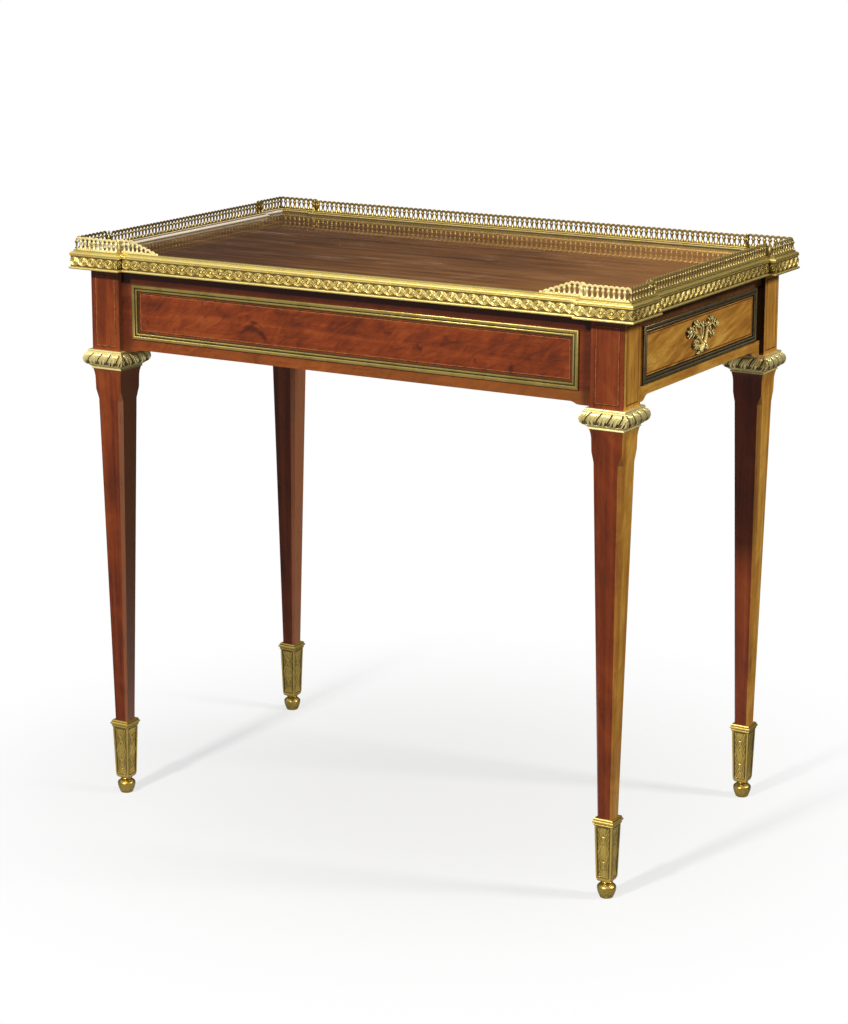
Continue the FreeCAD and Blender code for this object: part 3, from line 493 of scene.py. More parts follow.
def gilt(name, bright, worn, deep, line=None, rough=0.34, shine=0.90, pits=0.25, fine=0.3,
         polish=0.2):
    """Gilt bronze: bright where it stands proud, worn in patches and deep in the carving's hollows.

    fine is the share of small specks in the patches and pits the depth of the casting's skin. shine is
    how much of it shines as metal does, and polish the white gloss of the rest. A line is a colour let
    into the metal.
    """
    g = Graph(name)
    hollow = g.attribute("hollow").smooth(0.25, 0.95)
    patches = g.noise((38.0, 38.0, 38.0), 4.0, 0.62, 0.6)
    speckle = g.noise((420.0, 420.0, 420.0), 3.0, 0.6)
    dull = (patches * (1.0 - fine) + speckle * fine).smooth(0.44, 0.62)
    colour = g.mix(dull * 0.60, tuple(bright), tuple(worn))
    colour = g.mix(hollow * 0.94, colour, tuple(deep))
    shine = shine - hollow * 0.40
    if line is not None:
        mark = g.attribute("line").smooth(0.4, 0.6)
        colour = g.mix(mark, colour, tuple(line))
        shine = shine * (1.0 - mark)
    g.bump(speckle * 0.4 + patches * 0.6, 0.00004, pits)
    return g.finish(Base_Color=colour, Roughness=rough + dull * 0.10 + hollow * 0.22, Metallic=shine,
                    Specular_IOR_Level=polish)


def steel(name, roughness):
    """Filed steel with fine cross marks and brown spots."""
    g = Graph(name)
    marks = g.noise((80.0, 900.0, 1400.0), 3.0, 0.6, turn=(0.5, 0.0, 0.0))
    spots = g.noise((160.0, 160.0, 160.0), 4.0, 0.65).smooth(0.58, 0.74)
    colour = g.mix(spots * 0.7, tuple(settings().metal.steel), RUST)
    g.bump(marks, 0.00005, 0.6)
    return g.finish(Base_Color=colour, Roughness=roughness + marks * 0.2, Metallic=1.0 - spots * 0.6)


# Surfaces on grids of points
def grid_faces(rows, columns, close_rows=False, close_columns=False):
    """Corner numbers of the four-sided faces between neighbouring points of a grid, row by row."""
    row = np.arange(rows if close_rows else rows - 1)
    column = np.arange(columns if close_columns else columns - 1)
    row, column = np.meshgrid(row, column, indexing="ij")
    here = row * columns
    above = (row + 1) % rows * columns
    beside = (column + 1) % columns
    return np.stack([here + column, here + beside, above + beside, above + column], -1).reshape(-1, 4)


class Surface:
    """Closed shells gathered into one piece, with values carried on their points."""

    def __init__(self):
        self.points = []
        self.faces = []
        self.values = {"hollow": [], "line": []}
        self.count = 0

    def shell(self, points, faces, hollow=0.0, line=0.0):
        """Adds one closed shell, turned so that its faces look outwards, and gives the surface back.

        The sum of the tetrahedra from the origin to each face is negative when they look inwards.
        """
        points = np.asarray(points, float).reshape(-1, 3)
        volume = 0.0
        for group in faces:
            first = points[group[:, 0]]
            for corner in range(1, group.shape[1] - 1):
                second, third = points[group[:, corner]], points[group[:, corner + 1]]
                volume += np.einsum("ij,ij->", first, np.cross(second, third))
        for group in faces:
            turned = group if volume > 0 else group[:, ::-1]
            self.faces.append(turned + self.count)
        self.points.append(points)
        for key, value in (("hollow", hollow), ("line", line)):
            self.values[key].append(np.broadcast_to(np.ravel(value), (len(points),)))
        self.count += len(points)
        return self

    def tube(self, grid, hollow=0.0, line=0.0):
        """A shell from rings of points, one after another, closed at both ends by flat faces."""
        rings, around = grid.shape[:2]
        faces = [grid_faces(rings, around, close_columns=True)]
        faces.append(np.arange(around)[None, ::-1])
        faces.append((np.arange(around) + (rings - 1) * around)[None, :])
        return self.shell(grid, faces, hollow, line)

    def ring(self, grid, hollow=0.0):
        """A shell whose grid closes on itself both ways."""
        return self.shell(grid, [grid_faces(*grid.shape[:2], True, True)], hollow)

    def build(self, name, material, body, slot, nodes, crease=40.0):
        """Makes the mesh and its object, which rides on a body and stands for the named solids."""
        mesh = bpy.data.meshes.new(name)
        points = np.concatenate(self.points).astype(np.float32)
        corners = np.concatenate([group.ravel() for group in self.faces])
        sizes = np.concatenate([np.full(len(group), group.shape[1]) for group in self.faces])
        mesh.vertices.add(len(points))
        mesh.vertices.foreach_set("co", points.ravel())
        mesh.loops.add(len(corners))
        mesh.loops.foreach_set("vertex_index", corners.astype(np.int32))
        mesh.polygons.add(len(sizes))
        mesh.polygons.foreach_set("loop_start", (np.cumsum(sizes) - sizes).astype(np.int32))
        mesh.update(calc_edges=True)
        if mesh.validate():
            raise RuntimeError(name + " had faces that Blender had to repair")
        for key, value in self.values.items():
            layer = mesh.attributes.new(key, "FLOAT", "POINT")
            layer.data.foreach_set("value", np.concatenate(value).astype(np.float32))
        mesh.shade_smooth()
        mesh.set_sharp_from_angle(angle=math.radians(crease))
        mesh.materials.append(material)
        piece = bpy.data.objects.new(name, mesh)
        bpy.context.scene.collection.objects.link(piece)
        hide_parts(*nodes)
        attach(piece, body)


def ease(value, low, high):
    """An even curve from 0 at low to 1 at high, on whole arrays."""
    t = np.clip((value - low) / (high - low), 0.0, 1.0)
    return t * t * (3.0 - 2.0 * t)


def dome(square):
    """Height of half a ball, from the square of the share of its radius, and 0 past its edge."""
    return np.sqrt(np.clip(1.0 - square, 0.0, 1.0))


def peak(value, middle, width):
    """A bell curve, 1 at its middle."""
    return np.exp(-((value - middle) / width) ** 2)


def spin(radii, heights, around, flat=1.0):
    """Rings of points about the upright axis. flat is their width along Y as a share of that along X."""
    angle = np.arange(around) * 2.0 * np.pi / around
    return np.stack([radii[:, None] * np.cos(angle), radii[:, None] * np.sin(angle) * flat,
                     np.broadcast_to(heights[:, None], (len(radii), around))], -1)


def flank(first, middle, last):
    """An array's columns with the same fixed columns before and after each row."""
    rows = (len(middle), 1)
    return np.concatenate([np.tile(first, rows), middle, np.tile(last, rows)], 1)


def plan_corners(side, inset):
    """Six plan corners of one side of the top, for each inset: block, step, run, step, block."""
    band = settings().band
    half_x, half_y = cad_box[1][0], cad_box[1][1]
    half_along, half_out = (half_x, half_y) if side in LONG_SIDES else (half_y, half_x)
    far = half_along - inset
    jog = half_along - band.block + inset
    out = half_out - inset
    main = out - band.step
    along = np.stack([-far, -jog, -jog, jog, jog, far])
    away = np.stack([out, out, main, main, out, out])
    turned = {"front": (along, -away), "right": (away, along), "back": (-along, away),
              "left": (-away, -along)}
    return np.stack(turned[side], -1)


def run_along(side, columns_of, section_of):
    """Carries a section along the five runs of one side, mitred where two runs meet.

    A point at share t of a run lies t of the way between the run's two plan corners, both moved inwards
    by the point's own inset. section_of(run, distance, length) gives the points' insets, heights and one
    value that they carry.
    """
    outer = plan_corners(side, np.zeros(1))[:, 0]
    rings, hollows = [], []
    for run in range(5):
        span = float(np.linalg.norm(outer[run + 1] - outer[run]))
        count = columns_of(span)
        t = np.linspace(0.0, 1.0, count + 1)
        t = t if run == 4 else t[:-1]
        inset, height, hollow = section_of(run, t * span, span)
        corners = plan_corners(side, inset)
        flat = corners[run] + (corners[run + 1] - corners[run]) * t[:, None, None]
        rings.append(np.concatenate([flat, height[..., None]], -1))
        hollows.append(hollow)
    return np.concatenate(rings), np.concatenate(hollows)


# Air between a boss and the rings round it, and how far the carving dies away at its edges and ends
RING_GAP = 0.4 * MM
EDGE_FADE = 0.4 * MM
END_FADE = 0.9 * MM


def guilloche(along, up, band):
    """Height of the carving, from 0 on its ground to 1, at distances along and up from its middle.

    Round each boss run two rings, ridges of half-round section. Between two bosses a ribbon of two such
    ridges falls from the top of one pair of rings to the bottom of the next, and its mirror image passes
    below it. Both follow a sine of the distance along. A boss is a dome with a dimple.
    """
    phase = along / band.pitch
    half = band.strand / 2
    swing = band.boss + half + RING_GAP
    beside = (phase - np.floor(phase) - 0.5) * band.pitch
    radius = np.sqrt(beside ** 2 + up ** 2)
    apart = half * 0.55
    off = np.minimum(np.abs(radius - swing + apart), np.abs(radius - swing - apart)) / (half * 0.50)
    inner = radius / band.boss
    boss = dome((inner / 0.86) ** 2) - 0.45 * peak(inner, 0.0, 0.26)
    carved = np.maximum(0.92 * dome(off ** 2), boss * 0.95)
    gap = phase - np.round(phase)
    for sign, level in ((1.0, 0.48), (-1.0, 0.80)):
        centre = sign * swing * np.sin(1.4 * np.pi * gap)
        slope = sign * swing * 1.4 * np.pi / band.pitch * np.cos(1.4 * np.pi * gap)
        off = np.abs(up - centre) / np.sqrt(1.0 + slope ** 2) / half
        ribbon = np.maximum(dome(((off - 0.62) / 0.40) ** 2), 0.15 * (off < 0.62)) * level
        on = (1.0 - ease(np.abs(gap), 0.15, 0.23)) * (off < 1.02)
        carved = np.where(sign < 0, carved * (1.0 - on) + ribbon * on, np.maximum(carved, ribbon * on))
    return np.clip(carved, 0.0, 1.0)


def rosette(along, up, radius):
    """Height of a round patera: a ring, a hollow with eight petals and a bead in the middle."""
    distance = np.sqrt(along ** 2 + up ** 2)
    angle = np.arctan2(up, along)
    ring = 1.0 - ease(np.abs(distance - radius * 0.84), radius * 0.08, radius * 0.17)
    petals = (0.45 + 0.3 * np.cos(angle * 8.0)) * (1.0 - ease(distance, radius * 0.55, radius * 0.75))
    return np.maximum(np.maximum(ring, petals), dome((distance / (radius * 0.3)) ** 2))


def band_section(side):
    """Section of the edge band along one side: plain hem, carved field and plain fillet."""
    band = settings().band
    low, high = band_low.z, band_high.z
    thick = band_high.y + cad_box[1][1] - band.step
    field_low = low + band.hem
    field_high = high - band.fillet
    rows = max(2, round((field_high - field_low) / band.grain))
    field = np.linspace(field_low, field_high, rows + 1)
    middle = (field_low + field_high) / 2
    foot = np.array([(thick, low), (0.7 * MM, low), (0.1 * MM, low + band.hem * 0.16),
                     (0.0, low + band.hem * 0.3), (0.0, low + band.hem * 0.66),
                     (0.5 * MM, low + band.hem * 0.86), (band.ground * 0.8, low + band.hem * 0.97)])
    head = np.array([(band.ground * 0.75, field_high + band.fillet * 0.1),
                     (0.9 * MM, field_high + band.fillet * 0.25), (0.8 * MM, high - band.fillet * 0.2),
                     (1.1 * MM, high), (thick, high)])
    foot_dirt = [0.0] * (len(foot) - 1) + [0.6]
    head_dirt = [0.6] + [0.0] * (len(head) - 1)

    def section(run, distance, span):
        s = distance[:, None]
        up = (field - middle)[None, :]
        if run in STEPS:
            carved = rosette(s - span / 2, up, span * 0.46)
        else:
            carved = guilloche(s if side in LONG_SIDES else span - s, up, band)
        ends = ease(np.minimum(s, span - s), 0.0, END_FADE)
        edges = ease(np.minimum(field - field_low, field_high - field), 0.0, EDGE_FADE)[None, :]
        carved = carved * ends * edges
        return (flank(foot[:, 0], band.ground - carved * band.relief, head[:, 0]),
                flank(foot[:, 1], np.tile(field, (len(distance), 1)), head[:, 1]),
                flank(foot_dirt, np.clip(1.10 - carved * 1.50, 0.0, 1.0), head_dirt))

    return section


# The rim's section as (inset, height) in millimetres, under its quarter round and inwards of it, where
# None is the full height, and the insets between which the inlaid line lies
RIM_BACK = ((17.5, 0.0), (1.45, 0.0), (1.05, 0.5))
RIM_FLAT = ((4.7, 4.5), (4.7, 6.2), (5.0, None), (10.2, None), (10.5, 6.2), (10.6, 5.0), (10.7, 4.7),
            (11.7, 4.7), (11.8, 5.0), (13.0, 4.9), (13.8, 4.3), (14.6, 3.6), (15.6, 3.1), (17.2, 2.7),
            (17.5, 2.4))
RIM_LINE = (10.55, 11.85)
# Distance between the points along the plain rim
RIM_GRAIN = 50 * MM


def rim_section(side):
    """Section of the rim and its dirt at the board: quarter round, fillet, flat and two steps down."""
    low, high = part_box("rim_moulding_front")
    nose = [(1.05 + 3.5 * (1.0 - np.cos(a)), 1.3 + 3.0 * np.sin(a))
            for a in np.linspace(0.0, np.pi / 2, 9)]
    top = (high.z - low.z) / MM
    points = [*RIM_BACK, *nose, *((x, top if z is None else z) for x, z in RIM_FLAT)]
    inset, height = np.array(points).T
    line = ((inset > RIM_LINE[0]) & (inset < RIM_LINE[1])) * 1.0
    dirt = ease(inset, 15.0, 17.0) if side == "left" else 0.95 * ease(inset, 13.0, 15.0)
    dirt = dirt * (height > 1.0)

    def section(run, distance, span):
        rows = (len(distance), 1)
        return np.tile(inset * MM, rows), np.tile(height * MM + low.z, rows), np.tile(line, rows)

    return section, dirt


def square_places(width, grain):
    """Places round a square, spaced by grain: from 0 to 4 round it, and from 0 to 1 along each side."""
    columns = 4 * round(width / grain)
    across = np.arange(columns) * 4.0 / columns
    return across, (across - np.floor(across))[None, :]


def square_ring(half, height, across):
    """Points of a square ring for each level: half sizes by row and place, heights by row.

    across runs from 0 to 4 round the square. A point lies on the square of its own half size.
    """
    side = np.floor(across).astype(int) % 4
    t = (across - np.floor(across)) * 2.0 - 1.0
    tangent = np.array([(1.0, 0.0), (0.0, 1.0), (-1.0, 0.0), (0.0, -1.0)])[side]
    outward = np.array([(0.0, -1.0), (1.0, 0.0), (0.0, 1.0), (-1.0, 0.0)])[side]
    flat = outward[None] * half[..., None] + tangent[None] * (half * t[None])[..., None]
    return np.concatenate([flat, np.broadcast_to(height[:, None, None], (*half.shape, 1))], -1)


def at_corner(points, sign_x, sign_y):
    """Moves points made about a leg's axis to one corner of the table."""
    return points + np.array([sign_x * abs(leg_axis.x), sign_y * abs(leg_axis.y), 0.0])


def resample(points, step):
    """Points of an outline spaced no further apart than step, corners kept."""
    out = [np.array(points[0], float)]
    for first, second in zip(points, points[1:]):
        first, second = np.array(first, float), np.array(second, float)
        count = max(1, int(np.ceil(np.linalg.norm(second - first) / step)))
        shares = np.arange(1, count + 1)[:, None] / count
        out.extend(first + (second - first) * shares)
    return np.array(out)


def arc(centre, radius, start, end, count):
    """Points of an arc of an ellipse, from one angle to another in degrees."""
    angles = np.radians(np.linspace(start, end, count))
    return [(centre[0] + radius[0] * np.cos(a), centre[1] + radius[1] * np.sin(a)) for a in angles]


def collar_shape():
    """The collar about its own axis: plate, carved roll and hem, with leaves that lean along each face.

    On the roll the surface moves in between the leaves. A leaf is a broad lobe with fine ribs, the waves
    of a cosine across it, and a deeper vein, all bent along the leaf. Its lower edge is cut into pointed
    tips. The outline's numbers are shares of the collar's height, outwards from the post and up from its
    lower edge, or down from its upper edge for the hem.
    """
    collar = settings().collar
    low, high = collar_low.z, collar_high.z
    rise = high - low
    reach = (collar_high.x - collar_low.x) / 2
    roll_low, roll_high = low + rise * 0.22, low + rise * 0.86
    throat = post_half + rise * 0.15
    plate = [(post_half + rise * out, low + rise * up) for out, up in
             ((0.01, 0.0), (0.05, 0.02), (0.05, 0.06), (0.03, 0.09), (0.06, 0.13), (0.13, 0.18))]
    hem = [(post_half + rise * out, high - rise * down) for out, down in
           ((0.16, 0.12), (0.18, 0.10), (0.18, 0.03), (0.16, 0.0))]
    roll = arc((throat, (roll_low + roll_high) / 2), (reach - throat, (roll_high - roll_low) / 2),
               -86.0, 86.0, 44)
    inside = post_half - MM
    half, height = np.array([(inside, low), *plate, *roll, *hem, (inside, high)]).T
    across, t = square_places(reach * 2, collar.grain)
    on_roll = ease(height, roll_low - rise * 0.01, roll_low + rise * 0.05)
    on_roll = (on_roll * (1.0 - ease(height, roll_high - rise * 0.05, roll_high)))[:, None]
    down = np.clip((roll_high - height) / (roll_high - roll_low), 0.0, 1.0)[:, None]
    mirror = np.where(np.floor(across)[None, :] % 2 == 0, 1.0, -1.0)
    place = t * collar.leaves + mirror * collar.slant * (down - 0.5) + 0.5
    leaf = (place - np.floor(place)) * 2.0 - 1.0
    width = 0.94 - 0.10 * ease(down, 0.55, 0.95)
    lobe = dome((np.abs(leaf) / width) ** 3.0)
    bend = leaf + 0.22 * np.sin(np.pi * down)
    ribs = (0.20 + 0.20 * np.cos(np.pi * bend * 5.0)) * ease(down, 0.03, 0.30)
    vein = 0.62 * peak(bend, 0.10, 0.12) * ease(down, 0.20, 0.50)
    tips = ease(down, 0.58, 0.90) * (0.5 + 0.5 * np.cos(np.pi * leaf * 3.0))
    corner = ease(np.minimum(t, 1.0 - t), 0.0, 0.030)
    carved = np.clip(lobe - np.maximum(ribs, vein) - tips * 0.60, 0.0, 1.0)
    cut = (1.0 - carved) * on_roll
    throat_shade = 0.52 * ease(height, low + rise * 0.015, low + rise * 0.04)
    throat_shade = throat_shade * (1.0 - ease(height, roll_low, roll_low + rise * 0.04))
    hollow = np.clip(np.maximum(cut * 1.7 - 0.28, throat_shade[:, None]), 0.0, 1.0)
    half = half[:, None] - cut * collar.relief * (0.35 + 0.65 * corner)
    return square_ring(half, height, across), hollow


# Height over which a shoe's panel slopes back at its two ends
PANEL_SLOPE = 1.2 * MM


def shoe_shape():
    """The shoe about its own axis: stepped cornice, panelled body and rounded end, engraved all round.

    Inside its raised edges each face lies back by the panel's depth. Two crossing zigzags stand on the
    panel with leaves and beads between them, and hatching only darkens it. The outline's numbers are
    shares of the shoe's height, outwards from the leg and upwards.
    """
    shoe = settings().shoe
    low, high = shoe_low.z, shoe_high.z
    rise = high - low
    leg = (shoe_high.x - shoe_low.x) / 2 - rise * 0.052
    body_top, body_low = leg + rise * 0.022, leg - rise * 0.002
    panel_low, panel_high = low + rise * 0.065, low + rise * 0.865
    body = [(3.5 * MM, low), (8 * MM, low), (body_low * 0.90, low + rise * 0.018),
            (body_low * 0.97, low + rise * 0.045), (body_low, low + rise * 0.075),
            (body_low, low + rise * 0.0751), (body_top, low + rise * 0.88)]
    low_roll = arc((body_top + rise * 0.003, low + rise * 0.900), (rise * 0.011, rise * 0.013),
                   -70, 70, 8)
    high_roll = arc((leg + rise * 0.034, low + rise * 0.945), (rise * 0.018, rise * 0.022),
                    -70, 70, 10)
    lip = [(leg + rise * out, low + rise * up) for out, up in ((0.036, 0.972), (0.034, 0.990))]
    lip += [(leg + rise * 0.026, high), (leg - rise * 0.020, high)]
    step = (leg + rise * 0.030, low + rise * 0.918)
    half, height = np.array([*resample(body, shoe.grain), *low_roll, step, *high_roll, *lip]).T
    across, t = square_places(body_top * 2, shoe.grain)
    t = t * 2.0 - 1.0
    z = height[:, None]
    edge = 1.0 - shoe.border * 2.0
    inside = 1.0 - ease(np.abs(t), edge, edge + 0.07)
    inside = inside * ease(z, panel_low, panel_low + PANEL_SLOPE)
    inside = inside * (1.0 - ease(z, panel_high - PANEL_SLOPE, panel_high))
    down = (z - panel_low) / (panel_high - panel_low)
    turn = down * shoe.lozenges
    wave = edge * np.abs(2.0 * (turn - np.floor(turn)) - 1.0) * 0.92
    ribs = 1.0 - ease(np.minimum(np.abs(t - wave), np.abs(t + wave)), 0.045, 0.12)
    along = (turn + 0.5 - np.floor(turn + 0.5)) * 2.0 - 1.0
    leaf_edge = 0.34 * dome((along / 0.55) ** 2)
    leaf = (1.0 - ease(np.abs(t), leaf_edge, leaf_edge + 0.07)) * (np.abs(along) < 0.55)
    leaf = leaf * (0.85 - 0.45 * peak(t, 0.0, 0.06))
    bead = dome((t / 0.16) ** 2 + ((np.abs(along) - 0.80) / 0.07) ** 2)
    carved = np.maximum(np.maximum(ribs * 0.85, leaf), bead * 1.2)
    hatching = 0.42 * np.cos(t * 22.0 + 2.0 * np.sin(down * 40.0)) * np.cos(down * 95.0)
    groove = peak(np.abs(t), edge, 0.075) * (inside > 0.05)
    steps = sum(peak(z, low + rise * level, rise * 0.008) for level in (0.884, 0.918, 0.972))
    ends = peak(z, panel_high, 1.0 * MM) + peak(z, panel_low, 0.8 * MM)
    groove = np.maximum(groove, np.maximum(steps, ends * (np.abs(t) < edge)))
    seat = ease(z, low + rise * 0.985, high) * (half[:, None] < leg + rise * 0.020)
    hollow = inside * np.clip(0.58 - carved * 0.50 + hatching, 0.0, 1.0)
    hollow = np.clip(np.maximum(np.maximum(hollow, groove), seat), 0.0, 1.0)
    half = half[:, None] - inside * (1.0 - carved * 0.85) * shoe.panel
    return square_ring(half, height, across), hollow


# The foot's outline above its bulb, as shares of its largest radius and of its height
FOOT_NECK = ((0.975, 0.655), (0.94, 0.69), (0.86, 0.735), (0.76, 0.775), (0.66, 0.81), (0.58, 0.835),
             (0.54, 0.86), (0.56, 0.885), (0.63, 0.905), (0.66, 0.93), (0.63, 0.955), (0.60, 0.97),
             (0.62, 1.0), (0.26, 1.0))


def foot_shape():
    """The turned foot about its own axis: bulb, neck, ring and spigot spun round 64 places."""
    rise = shoe_low.z - foot_low.z
    reach = (foot_high.x - foot_low.x) / 2
    base = reach * 0.69
    bulb = [(base + (reach - base) * np.sin(s * np.pi / 2), rise * (0.02 + 0.60 * s))
            for s in np.linspace(0.14, 1.0, 8)]
    neck = [(reach * out, rise * up) for out, up in FOOT_NECK]
    radii, heights = np.array([(base - 0.5 * MM, 0.0), (base, rise * 0.02), *bulb, *neck,
                               (reach * 0.26, foot_high.z)]).T
    grid = spin(radii, heights, 64)
    dips = peak(heights / rise, 0.86, 0.03) + 0.7 * peak(heights / rise, 0.97, 0.02)
    return grid, np.broadcast_to(np.clip(dips, 0.0, 1.0)[:, None], grid.shape[:2])


# Gallery: pillars, arches and a rail on the rim
# Outlines of a pillar and of a vase, as shares of their radius and height
PILLAR = np.array([(1.25, 0.00), (1.15, 0.08), (0.68, 0.20), (0.60, 0.46), (0.68, 0.66), (1.15, 0.80),
                   (1.05, 0.90), (0.70, 1.00)])
VASE = np.array([(0.85, 0.00), (0.85, 0.07), (0.45, 0.12), (0.90, 0.26), (1.00, 0.40), (0.70, 0.56),
                 (0.38, 0.68), (0.62, 0.76), (0.62, 0.80), (0.34, 0.84), (0.50, 0.90), (0.36, 0.96),
                 (0.10, 1.00)])
PILLAR_PLACES = 8
PILLAR_FLATNESS = 0.6
VASE_PLACES = 10
VASE_WIDTH = 1.15
BAR_ANGLES = (np.arange(6) + 0.5) * np.pi / 3.0


def arch_grid(pitch, spring, bar, plate):
    """Half a ring on its two feet: a flattened bar carried round from one foot to the other."""
    turn = np.linspace(0.0, np.pi, 9)[:, None]
    radius = pitch / 2 + bar * np.cos(BAR_ANGLES)
    return np.stack([pitch / 2 - radius * np.cos(turn),
                     np.broadcast_to(plate * np.sin(BAR_ANGLES), (len(turn), len(BAR_ANGLES))),
                     spring + radius * np.sin(turn)], -1)


def stand_along(grid, start, along, base):
    """Moves points made as (along, across, up) to a place on the rim."""
    inward = np.array([-along[1], along[0]])
    flat = start + grid[..., :1] * along + grid[..., 1:2] * inward
    return np.concatenate([flat, grid[..., 2:] + base], -1)


def add_bays(surface, start, end, heights, base):
    """Pillars and arches between two plan points, one arch for each height.

    The bars are painted darker below, and the pillars on the sides that face their neighbours, as shade.
    """
    gallery = settings().gallery
    span = np.linalg.norm(end - start)
    along = (end - start) / span
    pitch = span / len(heights)
    foot = gallery.rail * 0.8
    springs = [height - pitch / 2 - gallery.bar for height in heights]
    # Painted shade on the bars' lower sides
    under = np.clip(-np.cos(BAR_ANGLES), 0.0, 1.0)
    for index, spring in enumerate(springs):
        arch = arch_grid(pitch, spring, gallery.bar, gallery.plate * 0.5)
        place = start + along * pitch * index
        surface.tube(stand_along(arch, place, along, base), np.broadcast_to(under, arch.shape[:2]))
    # Painted shade on the pillars' sides that face their neighbours
    beside = np.abs(np.cos(np.arange(PILLAR_PLACES) * np.pi / 4.0)) ** 2 * 0.9
    tops = np.maximum([foot * 1.5] + springs, springs + [foot * 1.5])
    for index, top in enumerate(tops):
        width = gallery.pillar * pitch / gallery.pitch
        pillar = spin(PILLAR[:, 0] * width, PILLAR[:, 1] * (top - foot), PILLAR_PLACES,
                      PILLAR_FLATNESS)
        place = start + along * pitch * index
        surface.tube(stand_along(pillar, place, along, base + foot),
                     np.broadcast_to(beside, pillar.shape[:2]))


def add_level_bays(surface, start, end, pitch, height, base):
    """Full arches, as many as fit between two plan points."""
    count = max(1, round(float(np.linalg.norm(end - start)) / pitch))
    add_bays(surface, start, end, [height] * count, base)


def add_vase(surface, start, end, height, base):
    """The vase that stands on a step of the gallery, between two plan points."""
    vase = spin(VASE[:, 0] * settings().gallery.pillar * VASE_WIDTH, VASE[:, 1] * height, VASE_PLACES)
    along = (end - start) / np.linalg.norm(end - start)
    surface.tube(stand_along(vase, (start + end) / 2, along, base))


def add_rail(surface, corners, base):
    """Adds the flat rail under the pillars, mitred at its corners, and gives its middle line back."""
    gallery = settings().gallery
    insets = np.array([0.0, 0.0, 0.2, 0.8, 1.0, 1.0]) * gallery.plate
    heights = np.array([0.0, 0.8, 1.0, 1.0, 0.8, 0.0]) * gallery.rail + base
    flat = corners(gallery_inset + insets)
    heights = np.broadcast_to(heights[None, :, None], (*flat.shape[:2], 1))
    surface.tube(np.concatenate([flat, heights], -1))
    return corners(np.array([gallery_inset + gallery.plate / 2]))[:, 0]


def gallery_surface(side):
    """The gallery along one whole side."""
    surface = Surface()
    low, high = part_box("gallery_back")
    full = high.z - low.z
    middle = add_rail(surface, lambda insets: plan_corners(side, insets), low.z)
    for run, (start, end) in enumerate(zip(middle, middle[1:])):
        if run in STEPS:
            add_vase(surface, start, end, full, low.z)
        else:
            add_level_bays(surface, start, end, settings().gallery.pitch, full, low.z)
    return surface


def front_return_surface(sign):
    """One front end of the gallery, from the table's corner inwards: block, step and falling ramp."""
    gallery = settings().gallery
    surface = Surface()
    low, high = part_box("gallery_front_right")
    full = high.z - low.z
    fall = (full - gallery.ramp_end) / (gallery.ramp + 1)
    ramp = [gallery.ramp_end + fall * (index + 1) for index in range(gallery.ramp)]
    heights = [full] * gallery.level + ramp[::-1]
    span = gallery.end_pitch * len(heights)
    order = [5, 4, 3] if sign > 0 else [0, 1, 2]

    def corners(insets):
        points = plan_corners("front", insets)[order]
        tail = points[-1] - np.array([sign * (span + gallery.tab), 0.0])
        return np.concatenate([points, tail[None]])

    corner, block_end, step, _ = add_rail(surface, corners, low.z)
    add_level_bays(surface, corner, block_end, gallery.end_pitch, full, low.z)
    add_vase(surface, block_end, step, full, low.z)
    add_bays(surface, step, step - np.array([sign * span, 0.0]), heights, low.z)
    return surface


# Mitred bronze frames
def half_round(middle, base, reach, lift, step):
    """Points over a half-round bead, each so many degrees on from the last."""
    angles = np.radians(range(10, 171, step))
    return [(middle - reach * np.cos(a), base + lift * np.sin(a)) for a in angles]


# Outline of a frame as shares of its width and of its height: two beads and a flat inner edge
FRAME = np.array([(0.0, 0.0), (0.0, 0.50), (0.015, 0.58), *half_round(0.24, 0.60, 0.22, 0.40, 16),
                  (0.47, 0.52), (0.48, 0.34), (0.57, 0.34), (0.58, 0.44),
                  *half_round(0.71, 0.48, 0.13, 0.30, 20), (0.845, 0.42), (0.86, 0.22), (0.985, 0.20),
                  (1.0, 0.18), (1.0, 0.0)])


def frame_surface(side, node):
    """A frame round a rectangle on a side of the table: dirt between its beads, painted shade at its
    edges.
    """
    low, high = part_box(node)
    wide = side in LONG_SIDES
    u_low, u_high = (low.x, high.x) if wide else (low.y, high.y)
    rise = high.y - low.y if wide else high.x - low.x
    across = FRAME[:, 0]
    inset, lift = across * settings().frames.width, FRAME[:, 1] * rise
    u = np.stack([u_low + inset, u_high - inset, u_high - inset, u_low + inset])
    v = np.stack([low.z + inset, low.z + inset, high.z - inset, high.z - inset])
    out = np.broadcast_to(lift, u.shape)
    placed = {"front": (u, high.y - out, v), "back": (u, low.y + out, v),
              "left": (high.x - out, u, v), "right": (low.x + out, u, v)}
    hollow = ease(across, 0.43, 0.465) * (1.0 - ease(across, 0.575, 0.60))
    # Painted shade: the low inner flat next to the panel and the outer foot are darkened.
    hollow = np.maximum(hollow, ease(across, 0.80, 0.845))
    hollow = np.maximum(hollow, 0.8 * (across < 0.012))
    return Surface().ring(np.stack(placed[side], -1), np.broadcast_to(hollow, u.shape))


# Escutcheon: leaves, flowers, stems and shield, drawn in millimetres about its middle
PETAL_THICK = 1.1


